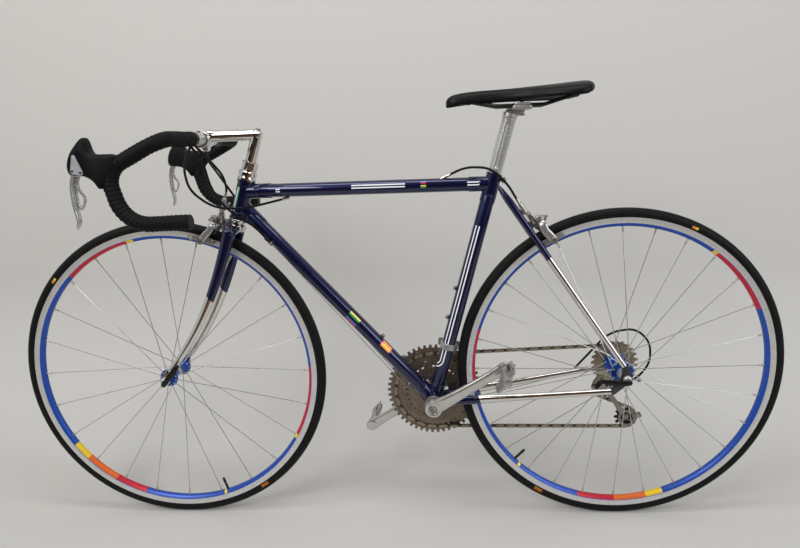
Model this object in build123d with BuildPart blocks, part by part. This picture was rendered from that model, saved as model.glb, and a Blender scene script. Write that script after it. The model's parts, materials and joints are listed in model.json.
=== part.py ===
"""Road racing bicycle: lugged steel frame, quill stem, drop bar, triple crankset.

Millimetres. +X is forward, +Y is the rider's left, +Z is up. The origin is the middle of the
saddle's top, where the rider sits. Places along the bicycle are measured from the rear axle.
"""
import os
from math import asin, atan2, cos, degrees, hypot, pi, radians, sin, sqrt, tan

from build123d import *

os.makedirs("parts", exist_ok=True)

# ---- driving dimensions ---------------------------------------------------------------------
BB_DROP = 67.0              # bottom bracket below the axles
SEAT_ANGLE = 74.5
HEAD_ANGLE = 72.5
FORK_RAKE = 62.0

RIM_RADIUS = 315.3          # where the tyre seats
TYRE_HEIGHT = 18.7          # the tyre stands this far out of the rim
TYRE_RADIUS = RIM_RADIUS + TYRE_HEIGHT
TYRE_WIDTH = 23.0
WHEEL_GAP = 284.0           # between the two tyres
STAY_CLEARANCE = 57.8       # from the rear tyre to the bottom bracket's axis
CROWN_CLEARANCE = 6.0       # from the front tyre to the fork crown
BRIDGE_CLEARANCE = 17.0     # from the rear tyre to the middle of the brake bridge
WHEELBASE = 2 * TYRE_RADIUS + WHEEL_GAP
CHAINSTAY_LENGTH = TYRE_RADIUS + STAY_CLEARANCE
RIM_WIDTH = 19.5
RIM_DEPTH = 18.0
BRAKE_TRACK = 11.0
REAR_SPACING = 130.0        # between the dropouts
FRONT_SPACING = 100.0
DROPOUT_THICKNESS = 6.0
AXLE_R = 4.8
RUNNING_GAP = 0.4           # radial clearance of a turning shaft

TOP_TUBE_R = 14.0
DOWN_TUBE_R = 14.3
SEAT_TUBE_R = 14.3
SEATPOST_R = 13.6
HEAD_TUBE_R = 16.2
HEAD_BORE_R = 14.6
STEERER_R = 12.7
LUG_WALL = 1.3
LUG_SEAT = 24.0             # a tube's end, from the axis of the tube it meets
SHELL_SEAT = 30.0           # and from the bottom bracket's axis
HEAD_BOTTOM_Z = TYRE_RADIUS # the head tube starts level with the tyres' tops
HEAD_TOP_Z = HEAD_BOTTOM_Z + 78.0
TOP_TUBE_Z = HEAD_TOP_Z - 22.5      # the level top tube's centre line
SEAT_TUBE_TOP_Z = TOP_TUBE_Z + 20.5
POST_TOP_Z = SEAT_TUBE_TOP_Z + 114.0
RAIL_Z = POST_TOP_Z + 14.0          # straight middle of the saddle's rails
SADDLE_RISE = RAIL_Z + 34.5         # middle of the saddle's top, above the rear axle
SADDLE_FORWARD = 203.0              # and ahead of it
POST_INSERTION = 75.0
BB_SHELL_R = 20.4
BB_SHELL_WIDTH = 68.0
BB_BORE_R = 17.3
SPINDLE_R = 8.5

CHAINSTAY_R = 8.6
CHAINSTAY_TIP_R = 6.0
SEATSTAY_R = 7.2
SEATSTAY_TIP_R = 5.6

CRANK_LENGTH = 170.0
CRANK_TURN = 32.5           # left crank, above level and rearwards
PEDAL_EYE_Y = 75.0          # outer face of a crank at its pedal
CRANK_THICKNESS = 12.5
CHAIN_PITCH = 12.7
CHAIN_WIDTH = 6.6
CHAIN_PIN_HALF = 4.2        # half height of a link at its pins
CHAIN_WAIST_HALF = 3.0      # and between them
CHAIN_LINE = 45.5
RING_TEETH = (30, 42, 50)
RING_Y = (39.2, 45.5, 52.0)
RING_THICKNESS = 2.0
TOOTH_RISE = 3.6            # tooth tip above the pitch circle
SPROCKET_TEETH = (12, 13, 14, 16, 17, 19, 21, 23)
DRIVEN_SPROCKET = 16
SPROCKET_STEP = 4.8
SPROCKET_THICKNESS = 1.8
PULLEY_TEETH = 11
CHAIN_CLEARANCE = 0.4       # between the chain and the wheels it runs on

STEM_REACH = 108.0
STEM_Z = HEAD_TOP_Z + 85.0
STEM_R = 11.0
QUILL_R = 11.1
BAR_R = 12.7
BAR_WIDTH = 410.0           # between the middles of the drops
TAPE_R = 13.7
BARE_HALF = 62.0            # bare middle of the bar, each side of the stem
HOUSING_R = 2.4
CABLE_R = 0.8


# ---- reference places -----------------------------------------------------------------------
def at(x, y, z):
    """The point x forward, y left and z up from the middle of the rear axle."""
    return Vector(x - SADDLE_FORWARD, y, z - SADDLE_RISE)


def along(start, end, distance):
    """The point that lies a distance from start towards end."""
    return start + (end - start).normalized() * distance


def cross_plane(origin, toward, offset=0.0):
    """Plane across the line from origin to toward, an offset along it."""
    line = (toward - origin).normalized()
    side = (1, 0, 0) if abs(line.Y) > 0.9 else (0, 1, 0)
    return Plane(origin=origin + line * offset, x_dir=side, z_dir=line)


BB_X = sqrt(CHAINSTAY_LENGTH ** 2 - BB_DROP ** 2)
REAR_AXLE = at(0, 0, 0)
FRONT_AXLE = at(WHEELBASE, 0, 0)
BB = at(BB_X, 0, -BB_DROP)

SEAT_LEAN = 1 / tan(radians(SEAT_ANGLE))
HEAD_LEAN = 1 / tan(radians(HEAD_ANGLE))
HEAD_FOOT_X = WHEELBASE - FORK_RAKE / sin(radians(HEAD_ANGLE))


def seat_axis(z):
    """Point of the seat tube's centre line at a height above the axles."""
    return at(BB_X - (z + BB_DROP) * SEAT_LEAN, 0, z)


def head_axis(z):
    """Point of the steering axis at a height above the axles."""
    return at(HEAD_FOOT_X - z * HEAD_LEAN, 0, z)


HEAD_UP = (head_axis(1) - head_axis(0)).normalized()
HEAD_AHEAD = Vector(HEAD_UP.Z, 0, -HEAD_UP.X)
RAKE_FOOT = FRONT_AXLE - HEAD_AHEAD * FORK_RAKE


def fork_at(up, ahead, y=0.0):
    """Point measured along the steering axis from beside the front axle, and ahead of it."""
    return RAKE_FOOT + HEAD_UP * up + HEAD_AHEAD * ahead + Vector(0, y, 0)


def fork_up(z):
    """Distance along the steering axis at which it passes a height above the axles."""
    return (head_axis(z) - RAKE_FOOT).length


# ---- shapes used by several pieces -----------------------------------------------------------
def rod(start, end, radius, end_radius=None, mode=Mode.ADD):
    """Round bar between two points, or a taper where an end radius is given."""
    with BuildSketch(cross_plane(start, end)) as near:
        Circle(radius)
    if end_radius is None:
        extrude(near.sketch, amount=(end - start).length, mode=mode)
    else:
        with BuildSketch(cross_plane(end, end + (end - start))) as far:
            Circle(end_radius)
        loft([near.sketch, far.sketch], mode=mode)


def ring_about(centre, y0, y1, outer, inner, mode=Mode.ADD):
    """Flat ring round an axle line, between two widths."""
    low, high = min(y0, y1), max(y0, y1)
    plane = Plane(origin=Vector(centre.X, high, centre.Z), x_dir=(1, 0, 0), z_dir=(0, -1, 0))
    with BuildSketch(plane) as face:
        Circle(outer)
        if inner:
            Circle(inner, mode=Mode.SUBTRACT)
    extrude(face.sketch, amount=high - low, mode=mode)


def side_plate(points, y0, y1, mode=Mode.ADD):
    """Plate with a side outline, its points from the rear axle, between two widths."""
    low, high = min(y0, y1), max(y0, y1)
    with BuildSketch(Plane(origin=(0, high, 0), x_dir=(1, 0, 0), z_dir=(0, -1, 0))) as face:
        with BuildLine():
            Polyline(*[(p.X, p.Z) for p in points], close=True)
        make_face()
    extrude(face.sketch, amount=high - low, mode=mode)


def hull_plate(discs, y0, y1, mode=Mode.ADD):
    """Plate whose outline wraps round discs, each a centre and a radius, between two widths."""
    low, high = min(y0, y1), max(y0, y1)
    with BuildSketch(Plane(origin=(0, high, 0), x_dir=(1, 0, 0), z_dir=(0, -1, 0))) as face:
        for centre, radius in discs:
            with Locations((centre.X, centre.Z)):
                Circle(radius)
        make_hull()
    extrude(face.sketch, amount=high - low, mode=mode)


def socket(origin, toward, tube_r, length, point):
    """Lug socket round a tube's end: a sleeve with a point on each side."""
    outer = tube_r + LUG_WALL
    line = (toward - origin).normalized()
    side = Plane(origin=origin, x_dir=line, z_dir=(0, 1, 0))
    with BuildPart() as sleeve:
        with BuildSketch(side) as outline:
            with BuildLine():
                Polyline((0, -outer), (length - point, -outer), (length - 0.6 * point, -outer * 0.45),
                         (length, 0), (length - 0.6 * point, outer * 0.45), (length - point, outer),
                         (0, outer), close=True)
            make_face()
        extrude(amount=outer, both=True)
        with BuildSketch(cross_plane(origin, toward)):
            Circle(outer)
        extrude(amount=length, mode=Mode.INTERSECT)
    return sleeve.part


def housing(points, radius=HOUSING_R):
    """Cable or housing along a route of straight runs joined by the largest arcs they allow."""
    radii = []
    for before, corner, after in zip(points, points[1:], points[2:]):
        inward, outward = corner - before, after - corner
        turn = radians(inward.get_angle(outward))
        radii.append(0.45 * min(inward.length, outward.length) / tan(turn / 2))
    with BuildLine() as route:
        FilletPolyline(*points, radius=radii)
    start = points[0]
    with BuildSketch(Plane(origin=start, z_dir=points[1] - start)) as section:
        Circle(radius)
    sweep(section.sketch, path=route.wires()[0])
    print("radii", [round(r) for r in radii])


def save(part, name):
    """Label a finished piece and write it."""
    part.label = name
    export_step(part, f"parts/{name}.step")


# ---- head tube, its lugs and the main tubes --------------------------------------------------
HEAD_TOP = head_axis(HEAD_TOP_Z)
HEAD_BOTTOM = head_axis(HEAD_BOTTOM_Z)
TOP_TUBE_HEAD = head_axis(TOP_TUBE_Z)
TOP_TUBE_SEAT = seat_axis(TOP_TUBE_Z)
DOWN_TUBE_HEAD = head_axis(HEAD_BOTTOM_Z + 28)
HEAD_LUG_LENGTH = 58.0
HEAD_LUG_POINT = 18.0

with BuildPart() as top_tube:
    rod(along(TOP_TUBE_HEAD, TOP_TUBE_SEAT, LUG_SEAT),
        along(TOP_TUBE_SEAT, TOP_TUBE_HEAD, LUG_SEAT), TOP_TUBE_R)
save(top_tube.part, "top_tube")

# Threaded bosses for two bottle cages, 64 mm apart
BOSS_SPACING = 64.0
BOSS_R = 4.2
BOSS_RISE = 1.6
BOSS_HOLE_R = 2.1
BOSS_DEPTH = 10.0
DOWN_BOSS_LOW = 112.0       # lower boss from the bottom bracket, along the down tube
SEAT_BOSS_LOW = 184.0       # and along the seat tube


def bosses(start, end, first, tube_r, outward):
    """Two raised bosses with blind threaded holes on the side of a tube."""
    for distance in (first, first + BOSS_SPACING):
        foot = along(start, end, distance)
        face = foot + outward * (tube_r + BOSS_RISE)
        rod(foot, face, BOSS_R)
        rod(face - outward * BOSS_DEPTH, face + outward, BOSS_HOLE_R, mode=Mode.SUBTRACT)


DOWN_LINE = (DOWN_TUBE_HEAD - BB).normalized()
DOWN_NORMAL = Vector(-DOWN_LINE.Z, 0, DOWN_LINE.X)
SEAT_LINE = (seat_axis(1) - seat_axis(0)).normalized()
SEAT_NORMAL = Vector(SEAT_LINE.Z, 0, -SEAT_LINE.X)
with BuildPart() as down_tube:
    rod(along(BB, DOWN_TUBE_HEAD, SHELL_SEAT), along(DOWN_TUBE_HEAD, BB, LUG_SEAT), DOWN_TUBE_R)
    bosses(BB, DOWN_TUBE_HEAD, DOWN_BOSS_LOW, DOWN_TUBE_R, DOWN_NORMAL)
save(down_tube.part, "down_tube")

upper_socket = socket(TOP_TUBE_HEAD, TOP_TUBE_SEAT, TOP_TUBE_R, HEAD_LUG_LENGTH, HEAD_LUG_POINT)
lower_socket = socket(DOWN_TUBE_HEAD, BB, DOWN_TUBE_R, HEAD_LUG_LENGTH, HEAD_LUG_POINT)
with BuildPart() as head_tube:
    rod(HEAD_BOTTOM, HEAD_TOP, HEAD_TUBE_R)
    rod(along(HEAD_TOP, HEAD_BOTTOM, 6), HEAD_TOP, HEAD_TUBE_R + LUG_WALL)
    rod(HEAD_BOTTOM, along(HEAD_BOTTOM, HEAD_TOP, 6), HEAD_TUBE_R + LUG_WALL)
    rod(head_axis(TOP_TUBE_Z - 15), HEAD_TOP, HEAD_TUBE_R + LUG_WALL / 2)
    rod(HEAD_BOTTOM, head_axis(HEAD_BOTTOM_Z + 24), HEAD_TUBE_R + LUG_WALL / 2)
    add(upper_socket)
    add(lower_socket)
    add(top_tube.part, mode=Mode.SUBTRACT)
    add(down_tube.part, mode=Mode.SUBTRACT)
    rod(HEAD_BOTTOM, HEAD_TOP, HEAD_BORE_R, mode=Mode.SUBTRACT)
save(head_tube.part, "head_tube")

SEAT_TUBE_TOP = seat_axis(SEAT_TUBE_TOP_Z)
SEAT_LUG_LENGTH = 52.0
BINDER_R = 5.2
seat_socket = socket(TOP_TUBE_SEAT, TOP_TUBE_HEAD, TOP_TUBE_R, SEAT_LUG_LENGTH, HEAD_LUG_POINT)
BINDER = SEAT_TUBE_TOP - SEAT_LINE * 9 - SEAT_NORMAL * (SEAT_TUBE_R + 6)
with BuildPart() as seat_tube:
    rod(along(BB, SEAT_TUBE_TOP, SHELL_SEAT), SEAT_TUBE_TOP, SEAT_TUBE_R)
    rod(SEAT_TUBE_TOP - SEAT_LINE * 44, SEAT_TUBE_TOP, SEAT_TUBE_R + LUG_WALL)
    add(seat_socket)
    add(top_tube.part, mode=Mode.SUBTRACT)
    rod(BINDER - Vector(0, 11, 0), BINDER + Vector(0, 11, 0), BINDER_R)
    hull_plate([(BINDER, BINDER_R), (BINDER + SEAT_NORMAL * 8, BINDER_R)], -9, 9)
    rod(SEAT_TUBE_TOP - SEAT_LINE * POST_INSERTION, SEAT_TUBE_TOP, SEATPOST_R, mode=Mode.SUBTRACT)
    bosses(BB, SEAT_TUBE_TOP, SEAT_BOSS_LOW, SEAT_TUBE_R, SEAT_NORMAL)
save(seat_tube.part, "seat_tube")

# ---- bottom bracket shell and cups -------------------------------------------------------------
SHELL_SOCKET = 42.0
STAY_START_Y = 20.0
STAY_START = 25.0           # a chainstay's front end, behind the bottom bracket's axis
STAY_END_Y = REAR_SPACING / 2 + DROPOUT_THICKNESS / 2
CHAINSTAY_END = (30.0, -27.0)
SEATSTAY_END = (6.0, 26.0)


def chainstay_line(side):
    """Front and rear ends of a chainstay's centre line."""
    front = at(BB_X - STAY_START, side * STAY_START_Y, -BB_DROP + 1)
    return front, at(CHAINSTAY_END[0], side * STAY_END_Y, CHAINSTAY_END[1])


with BuildPart() as chainstays:
    for side in (1, -1):
        front, rear = chainstay_line(side)
        rod(front, rear, CHAINSTAY_R, CHAINSTAY_TIP_R)
save(chainstays.part, "chainstays")

with BuildPart() as bottom_bracket_shell:
    ring_about(BB, -BB_SHELL_WIDTH / 2, BB_SHELL_WIDTH / 2, BB_SHELL_R, 0)
    for end, tube_r in ((SEAT_TUBE_TOP, SEAT_TUBE_R), (DOWN_TUBE_HEAD, DOWN_TUBE_R)):
        rod(BB, along(BB, end, SHELL_SOCKET), tube_r + LUG_WALL)
    for side in (1, -1):
        front, rear = chainstay_line(side)
        rod(front - (rear - front).normalized() * STAY_START, along(front, rear, 9),
            CHAINSTAY_R + LUG_WALL)
    for tube in (seat_tube, down_tube, chainstays):
        add(tube.part, mode=Mode.SUBTRACT)
    ring_about(BB, -BB_SHELL_WIDTH / 2, BB_SHELL_WIDTH / 2, BB_BORE_R, 0, mode=Mode.SUBTRACT)
save(bottom_bracket_shell.part, "bottom_bracket_shell")

CUP_FLANGE = 3.5
with BuildPart() as bottom_bracket_cups:
    for side in (1, -1):
        edge = side * BB_SHELL_WIDTH / 2
        ring_about(BB, edge - side * 14, edge, BB_BORE_R, SPINDLE_R + RUNNING_GAP)
        ring_about(BB, edge, edge + side * CUP_FLANGE, BB_SHELL_R - 1, SPINDLE_R + RUNNING_GAP)
save(bottom_bracket_cups.part, "bottom_bracket_cups")

# ---- rear triangle ----------------------------------------------------------------------------
SEATSTAY_TOP_Z = TOP_TUBE_Z + 3.5
SEATSTAY_TOP_Y = SEAT_TUBE_R + LUG_WALL + SEATSTAY_R - 3.2
BRIDGE_RADIUS = TYRE_RADIUS + BRIDGE_CLEARANCE


def seatstay_line(side):
    """Lower and upper ends of a seatstay's centre line."""
    upper = seat_axis(SEATSTAY_TOP_Z) - SEAT_NORMAL * 8
    return (at(SEATSTAY_END[0], side * STAY_END_Y, SEATSTAY_END[1]),
            upper + Vector(0, side * SEATSTAY_TOP_Y, 0))


LOWER_END, UPPER_END = seatstay_line(0)
STAY_UP = (UPPER_END - LOWER_END).normalized()
STAY_BACK = Vector(-STAY_UP.Z, 0, STAY_UP.X)
reach = (LOWER_END - REAR_AXLE).dot(STAY_UP)
offset = (LOWER_END - REAR_AXLE).dot(STAY_BACK)
BRIDGE = LOWER_END + STAY_UP * (sqrt(BRIDGE_RADIUS ** 2 - offset ** 2) - reach)
share = (BRIDGE - LOWER_END).length / (UPPER_END - LOWER_END).length
BRIDGE_HALF = STAY_END_Y + (SEATSTAY_TOP_Y - STAY_END_Y) * share
with BuildPart() as seatstays:
    for side in (1, -1):
        lower, upper = seatstay_line(side)
        rod(upper, lower, SEATSTAY_R, SEATSTAY_TIP_R)
    rod(BRIDGE - Vector(0, BRIDGE_HALF, 0), BRIDGE + Vector(0, BRIDGE_HALF, 0), 6)
    add(seat_tube.part, mode=Mode.SUBTRACT)
save(seatstays.part, "seatstays")

with BuildPart() as rear_dropouts:
    for side in (1, -1):
        inner = side * REAR_SPACING / 2
        outer = inner + side * DROPOUT_THICKNESS
        low = at(CHAINSTAY_END[0], 0, CHAINSTAY_END[1])
        high = at(SEATSTAY_END[0], 0, SEATSTAY_END[1])
        hull_plate([(low + Vector(-4, 0, 0), 6.5), (REAR_AXLE, 10.5)], inner, outer)
        hull_plate([(high - STAY_UP * 4, 6), (REAR_AXLE, 10.5)], inner, outer)
        if side < 0:
            hull_plate([(REAR_AXLE, 10.5), (at(7, 0, -27), 8)], inner, outer)
        hull_plate([(REAR_AXLE, AXLE_R), (REAR_AXLE - Vector(24, 0, 4), AXLE_R)], inner, outer,
                   mode=Mode.SUBTRACT)
    add(chainstays.part, mode=Mode.SUBTRACT)
    add(seatstays.part, mode=Mode.SUBTRACT)
save(rear_dropouts.part, "rear_dropouts")

# ---- headset -----------------------------------------------------------------------------------
CUP_R = 18.0
CUP_HEIGHT = 9.0
LOWER_RACE = 7.0
LOCKNUT_R = 17.2
LOCKNUT_HEIGHT = 20.0
SEAT_FACE_GAP = 0.3         # between faces that turn on each other

with BuildPart() as headset_cups:
    for face, outward in ((HEAD_TOP, 1), (HEAD_BOTTOM, -1)):
        away = HEAD_UP * outward
        rod(face, face + away * (CUP_HEIGHT - 3), CUP_R)
        rod(face + away * (CUP_HEIGHT - 3), face + away * CUP_HEIGHT, CUP_R, CUP_R - 1.5)
        rod(face - away * 8, face + away * CUP_HEIGHT, STEERER_R + RUNNING_GAP, mode=Mode.SUBTRACT)
save(headset_cups.part, "headset_cups")

RACE_TOP = fork_up(HEAD_BOTTOM_Z) - CUP_HEIGHT - SEAT_FACE_GAP
NUT_BOTTOM = fork_up(HEAD_TOP_Z) + CUP_HEIGHT + SEAT_FACE_GAP
NUT_TOP = NUT_BOTTOM + LOCKNUT_HEIGHT
QUILL_HOLE_DEPTH = 60.0
with BuildPart() as headset_locknut:
    rod(fork_at(NUT_BOTTOM, 0), fork_at(NUT_BOTTOM + 7, 0), CUP_R)
    rod(fork_at(NUT_BOTTOM + 7, 0), fork_at(NUT_BOTTOM + 10, 0), LOCKNUT_R - 1.4)
    with BuildSketch(cross_plane(fork_at(NUT_BOTTOM + 10, 0), fork_at(NUT_TOP, 0))) as hexagon:
        RegularPolygon(LOCKNUT_R + 1, 8)
    extrude(hexagon.sketch, amount=LOCKNUT_HEIGHT - 10)
    rod(fork_at(NUT_BOTTOM, 0), fork_at(NUT_TOP, 0), STEERER_R, mode=Mode.SUBTRACT)
save(headset_locknut.part, "headset_locknut")

# ---- fork: crown, curved blades, dropout tips and steerer ------------------------------------------
CROWN_BOTTOM = TYRE_RADIUS + CROWN_CLEARANCE    # up the steering axis from beside the axle
CROWN_TOP = RACE_TOP - LOWER_RACE
BLADE_Y = 33.0              # a blade's middle at the crown
BLADE_TIP_Y = FRONT_SPACING / 2 + DROPOUT_THICKNESS / 2
BLADE_TIP_UP = 17.0
BLADE_STATIONS = 9
BLADE_CURVE = 2.6           # how late the rake comes: higher keeps the blade straighter
BLADE_DEPTH = 27.0          # fore and aft at the crown
BLADE_TIP_DEPTH = 12.5
BLADE_BREADTH = 18.0
BLADE_TIP_BREADTH = 11.5
CROWN_LEAN = 3.5            # the crown holds the blades this far ahead of the steering axis


def blade_centre(share):
    """Blade centre from crown (0) to tip (1): distance up the axis, ahead and to the side."""
    up = CROWN_BOTTOM + (BLADE_TIP_UP - CROWN_BOTTOM) * share
    ahead = CROWN_LEAN + (FORK_RAKE - 3 - CROWN_LEAN) * share ** BLADE_CURVE
    return up, ahead, BLADE_Y + (BLADE_TIP_Y - BLADE_Y) * share


def blade_plane(share, side):
    """Plane across a blade at a share of its length."""
    up, ahead, out = blade_centre(share)
    step = 0.01
    up2, ahead2, out2 = blade_centre(share + step)
    here = fork_at(up, ahead, side * out)
    down = fork_at(up2, ahead2, side * out2) - here
    return Plane(origin=here, x_dir=(0, 1, 0), z_dir=down)


with BuildPart() as fork:
    for side in (1, -1):
        stations = []
        for index in range(BLADE_STATIONS):
            share = index / (BLADE_STATIONS - 1)
            breadth = BLADE_BREADTH + (BLADE_TIP_BREADTH - BLADE_BREADTH) * share
            depth = BLADE_DEPTH + (BLADE_TIP_DEPTH - BLADE_DEPTH) * share ** 0.8
            with BuildSketch(blade_plane(share, side)) as station:
                Ellipse(breadth / 2, depth / 2)
            stations.append(station.sketch)
        loft(stations)
    crown_side = Plane(origin=fork_at(CROWN_BOTTOM, CROWN_LEAN), x_dir=(0, 1, 0), z_dir=HEAD_UP)
    with BuildSketch(crown_side) as crown_foot:
        SlotCenterToCenter(2 * BLADE_Y, BLADE_DEPTH + 3)
    with BuildSketch(crown_side.offset(12)) as crown_waist:
        SlotCenterToCenter(2 * BLADE_Y - 6, BLADE_DEPTH + 1)
    loft([crown_foot.sketch, crown_waist.sketch])
    with BuildSketch(crown_side.offset(CROWN_TOP - CROWN_BOTTOM)) as crown_top:
        SlotCenterToCenter(8, 2 * (HEAD_TUBE_R + 0.5))
    loft([crown_waist.sketch, crown_top.sketch])
    rod(fork_at(CROWN_TOP - 4, 0), fork_at(RACE_TOP, 0), CUP_R)
    rod(fork_at(RACE_TOP - 1, 0), fork_at(NUT_TOP, 0), STEERER_R)
    rod(fork_at(NUT_TOP - QUILL_HOLE_DEPTH, 0), fork_at(NUT_TOP, 0), QUILL_R, mode=Mode.SUBTRACT)
    for side in (1, -1):
        inner = side * FRONT_SPACING / 2
        outer = inner + side * DROPOUT_THICKNESS
        up, ahead, out = blade_centre(1.0)
        hull_plate([(fork_at(up + 4, ahead), 5.5), (FRONT_AXLE, 9.5)], inner, outer)
        hull_plate([(FRONT_AXLE, AXLE_R), (FRONT_AXLE - HEAD_UP * 24, AXLE_R)], inner, outer,
                   mode=Mode.SUBTRACT)
save(fork.part, "fork")

# ---- quill stem ------------------------------------------------------------------------------------
STEM_BACK = head_axis(STEM_Z)
BAR_CENTRE = STEM_BACK + Vector(STEM_REACH, 0, 0)
CLAMP_R = 17.5
CLAMP_HALF = 20.0
QUILL_INSERTION = 50.0
with BuildPart() as stem:
    rod(fork_at(NUT_TOP - QUILL_INSERTION, 0), fork_at(fork_up(STEM_Z) + 6, 0), QUILL_R)
    rod(STEM_BACK - Vector(4, 0, 0), BAR_CENTRE, STEM_R)
    rod(STEM_BACK - Vector(4, 0, 0), STEM_BACK + Vector(16, 0, 0), STEM_R + 1, STEM_R)
    ring_about(BAR_CENTRE, -CLAMP_HALF, CLAMP_HALF, CLAMP_R, 0)
    hull_plate([(BAR_CENTRE - Vector(4, 0, 19), 5.5), (BAR_CENTRE - Vector(0, 0, 8), 8)], -8, 8)
    ring_about(BAR_CENTRE, -CLAMP_HALF, CLAMP_HALF, BAR_R, 0, mode=Mode.SUBTRACT)
save(stem.part, "stem")

# ---- drop handlebar and its taped ends ---------------------------------------------------------------
BAR_HALF = BAR_WIDTH / 2
RAMP = (104.0, -52.0)       # corners of the drop, ahead of the clamp and above it
HOOK = (78.0, -147.0)
BAR_END = (-40.0, -143.5)
BEND_RADII = (38.0, 40.0, 60.0)
GRIP_LEAN = 5.0             # the drops spread this much towards their ends

with BuildPart() as handlebar:
    rod(BAR_CENTRE - Vector(0, BARE_HALF, 0), BAR_CENTRE + Vector(0, BARE_HALF, 0), BAR_R)
save(handlebar.part, "handlebar")


def drop_route(side):
    """Corners of one side of the bar, from its bare middle to its end."""
    return [BAR_CENTRE + Vector(0, side * BARE_HALF, 0),
            BAR_CENTRE + Vector(0, side * BAR_HALF, 0),
            BAR_CENTRE + Vector(RAMP[0], side * BAR_HALF, RAMP[1]),
            BAR_CENTRE + Vector(HOOK[0], side * (BAR_HALF + GRIP_LEAN / 2), HOOK[1]),
            BAR_CENTRE + Vector(BAR_END[0], side * (BAR_HALF + GRIP_LEAN), BAR_END[1])]


drops = []
for side, name in ((1, "left"), (-1, "right")):
    with BuildPart() as drop:
        with BuildLine() as bend:
            FilletPolyline(*drop_route(side), radius=BEND_RADII)
        with BuildSketch(Plane(origin=drop_route(side)[0], z_dir=(0, side, 0))) as section:
            Circle(TAPE_R)
        sweep(section.sketch, path=bend.wires()[0])
    save(drop.part, f"taped_drop_{name}")
    drops.append(drop.part)

# ---- seatpost, saddle clamp, rails and saddle ------------------------------------------------------
POST_TOP = seat_axis(POST_TOP_Z)
FLUTE_R = 3.0
with BuildPart() as seatpost:
    rod(SEAT_TUBE_TOP - SEAT_LINE * (POST_INSERTION - 1), POST_TOP, SEATPOST_R)
    rod(POST_TOP - SEAT_LINE * 10, POST_TOP, SEATPOST_R + 1.2)
    for side in (1, -1):
        low = SEAT_TUBE_TOP + SEAT_LINE * 14 + Vector(0, side * (SEATPOST_R + 1.2), 0)
        high = POST_TOP - SEAT_LINE * 16 + Vector(0, side * (SEATPOST_R + 1.2), 0)
        rod(low, high, FLUTE_R, mode=Mode.SUBTRACT)
save(seatpost.part, "seatpost")

RAIL_R = 3.5
RAIL_Y = 22.0
CLAMP_SETBACK = 20.0
CLAMP_LENGTH = 38.0
CLAMP_X = (POST_TOP - REAR_AXLE).X - CLAMP_SETBACK
with BuildPart() as seat_clamp:
    hull_plate([(POST_TOP, 11.0), (at(CLAMP_X, 0, RAIL_Z - 6), 8)], -8, 8)
    for z0, height in ((RAIL_Z - 8, 8), (RAIL_Z + 0.2, 5)):
        with BuildSketch(Plane(origin=at(CLAMP_X, 0, z0))) as shoe:
            RectangleRounded(CLAMP_LENGTH, 2 * RAIL_Y + 14, 5)
        extrude(shoe.sketch, amount=height)
    add(seatpost.part, mode=Mode.SUBTRACT)
    for side in (1, -1):
        rod(at(CLAMP_X - 50, side * RAIL_Y, RAIL_Z), at(CLAMP_X + 50, side * RAIL_Y, RAIL_Z), RAIL_R,
            mode=Mode.SUBTRACT)
save(seat_clamp.part, "seat_clamp")

RAIL_NOSE = (312.0, 4.5, RAIL_Z + 10)
RAIL_TAIL = (92.0, 47.0, RAIL_Z + 19)
RAIL_BEND = 16.0
with BuildPart() as saddle_rails:
    for side in (1, -1):
        with BuildLine() as rail:
            FilletPolyline(at(RAIL_TAIL[0], side * RAIL_TAIL[1], RAIL_TAIL[2]),
                           at(CLAMP_X - 42, side * RAIL_Y, RAIL_Z),
                           at(CLAMP_X + 46, side * RAIL_Y, RAIL_Z),
                           at(RAIL_NOSE[0] - 12, side * RAIL_NOSE[1], RAIL_NOSE[2]),
                           at(RAIL_NOSE[0], side * RAIL_NOSE[1], RAIL_NOSE[2]), radius=RAIL_BEND)
        tail = at(RAIL_TAIL[0], side * RAIL_TAIL[1], RAIL_TAIL[2])
        with BuildSketch(Plane(origin=tail, z_dir=rail.wires()[0] % 0)) as section:
            Circle(RAIL_R)
        sweep(section.sketch, path=rail.wires()[0])
save(saddle_rails.part, "saddle_rails")

# Saddle stations: ahead of the rear axle, half width, edge and crown above the rails
SADDLE = ((74.0, 52.0, 24.0, 39.0), (84.0, 70.0, 18.0, 41.0), (108.0, 74.0, 14.0, 39.5),
          (150.0, 62.0, 13.0, 36.5), (195.0, 38.0, 12.0, 34.5), (240.0, 25.0, 11.0, 33.0),
          (295.0, 20.0, 9.0, 30.0), (332.0, 18.0, 5.0, 25.0), (347.0, 11.0, 3.0, 16.0))
with BuildPart() as saddle:
    slices = []
    for x, half, edge, crown in SADDLE:
        with BuildSketch(Plane(origin=at(x, 0, RAIL_Z), x_dir=(0, 1, 0), z_dir=(1, 0, 0))) as slice_face:
            with BuildLine():
                Spline((-half, edge), (-half * 0.8, crown - (crown - edge) * 0.28), (0, crown),
                       (half * 0.8, crown - (crown - edge) * 0.28), (half, edge))
                Line((half, edge), (-half, edge))
            make_face()
        slices.append(slice_face.sketch)
    loft(slices)
    add(saddle_rails.part, mode=Mode.SUBTRACT)
save(saddle.part, "saddle")

# ---- wheels ------------------------------------------------------------------------------------------
SECTION_CENTRE = TYRE_RADIUS - TYRE_WIDTH / 2
TYRE_SIDES = 8


def make_tyre(axle):
    """Tyre: a ring with a many-sided section, flat where it sits on the rim."""
    with BuildPart() as tyre:
        plane = Plane(origin=axle, x_dir=(1, 0, 0), z_dir=(0, 0, 1))
        with BuildSketch(plane) as section:
            with Locations((SECTION_CENTRE, 0)):
                RegularPolygon(TYRE_WIDTH / 2, TYRE_SIDES)
            with Locations((RIM_RADIUS - 20, 0)):
                Rectangle(40, 40, mode=Mode.SUBTRACT)
        revolve(section.sketch, axis=Axis(axle, (0, 1, 0)))
    return tyre.part


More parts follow.
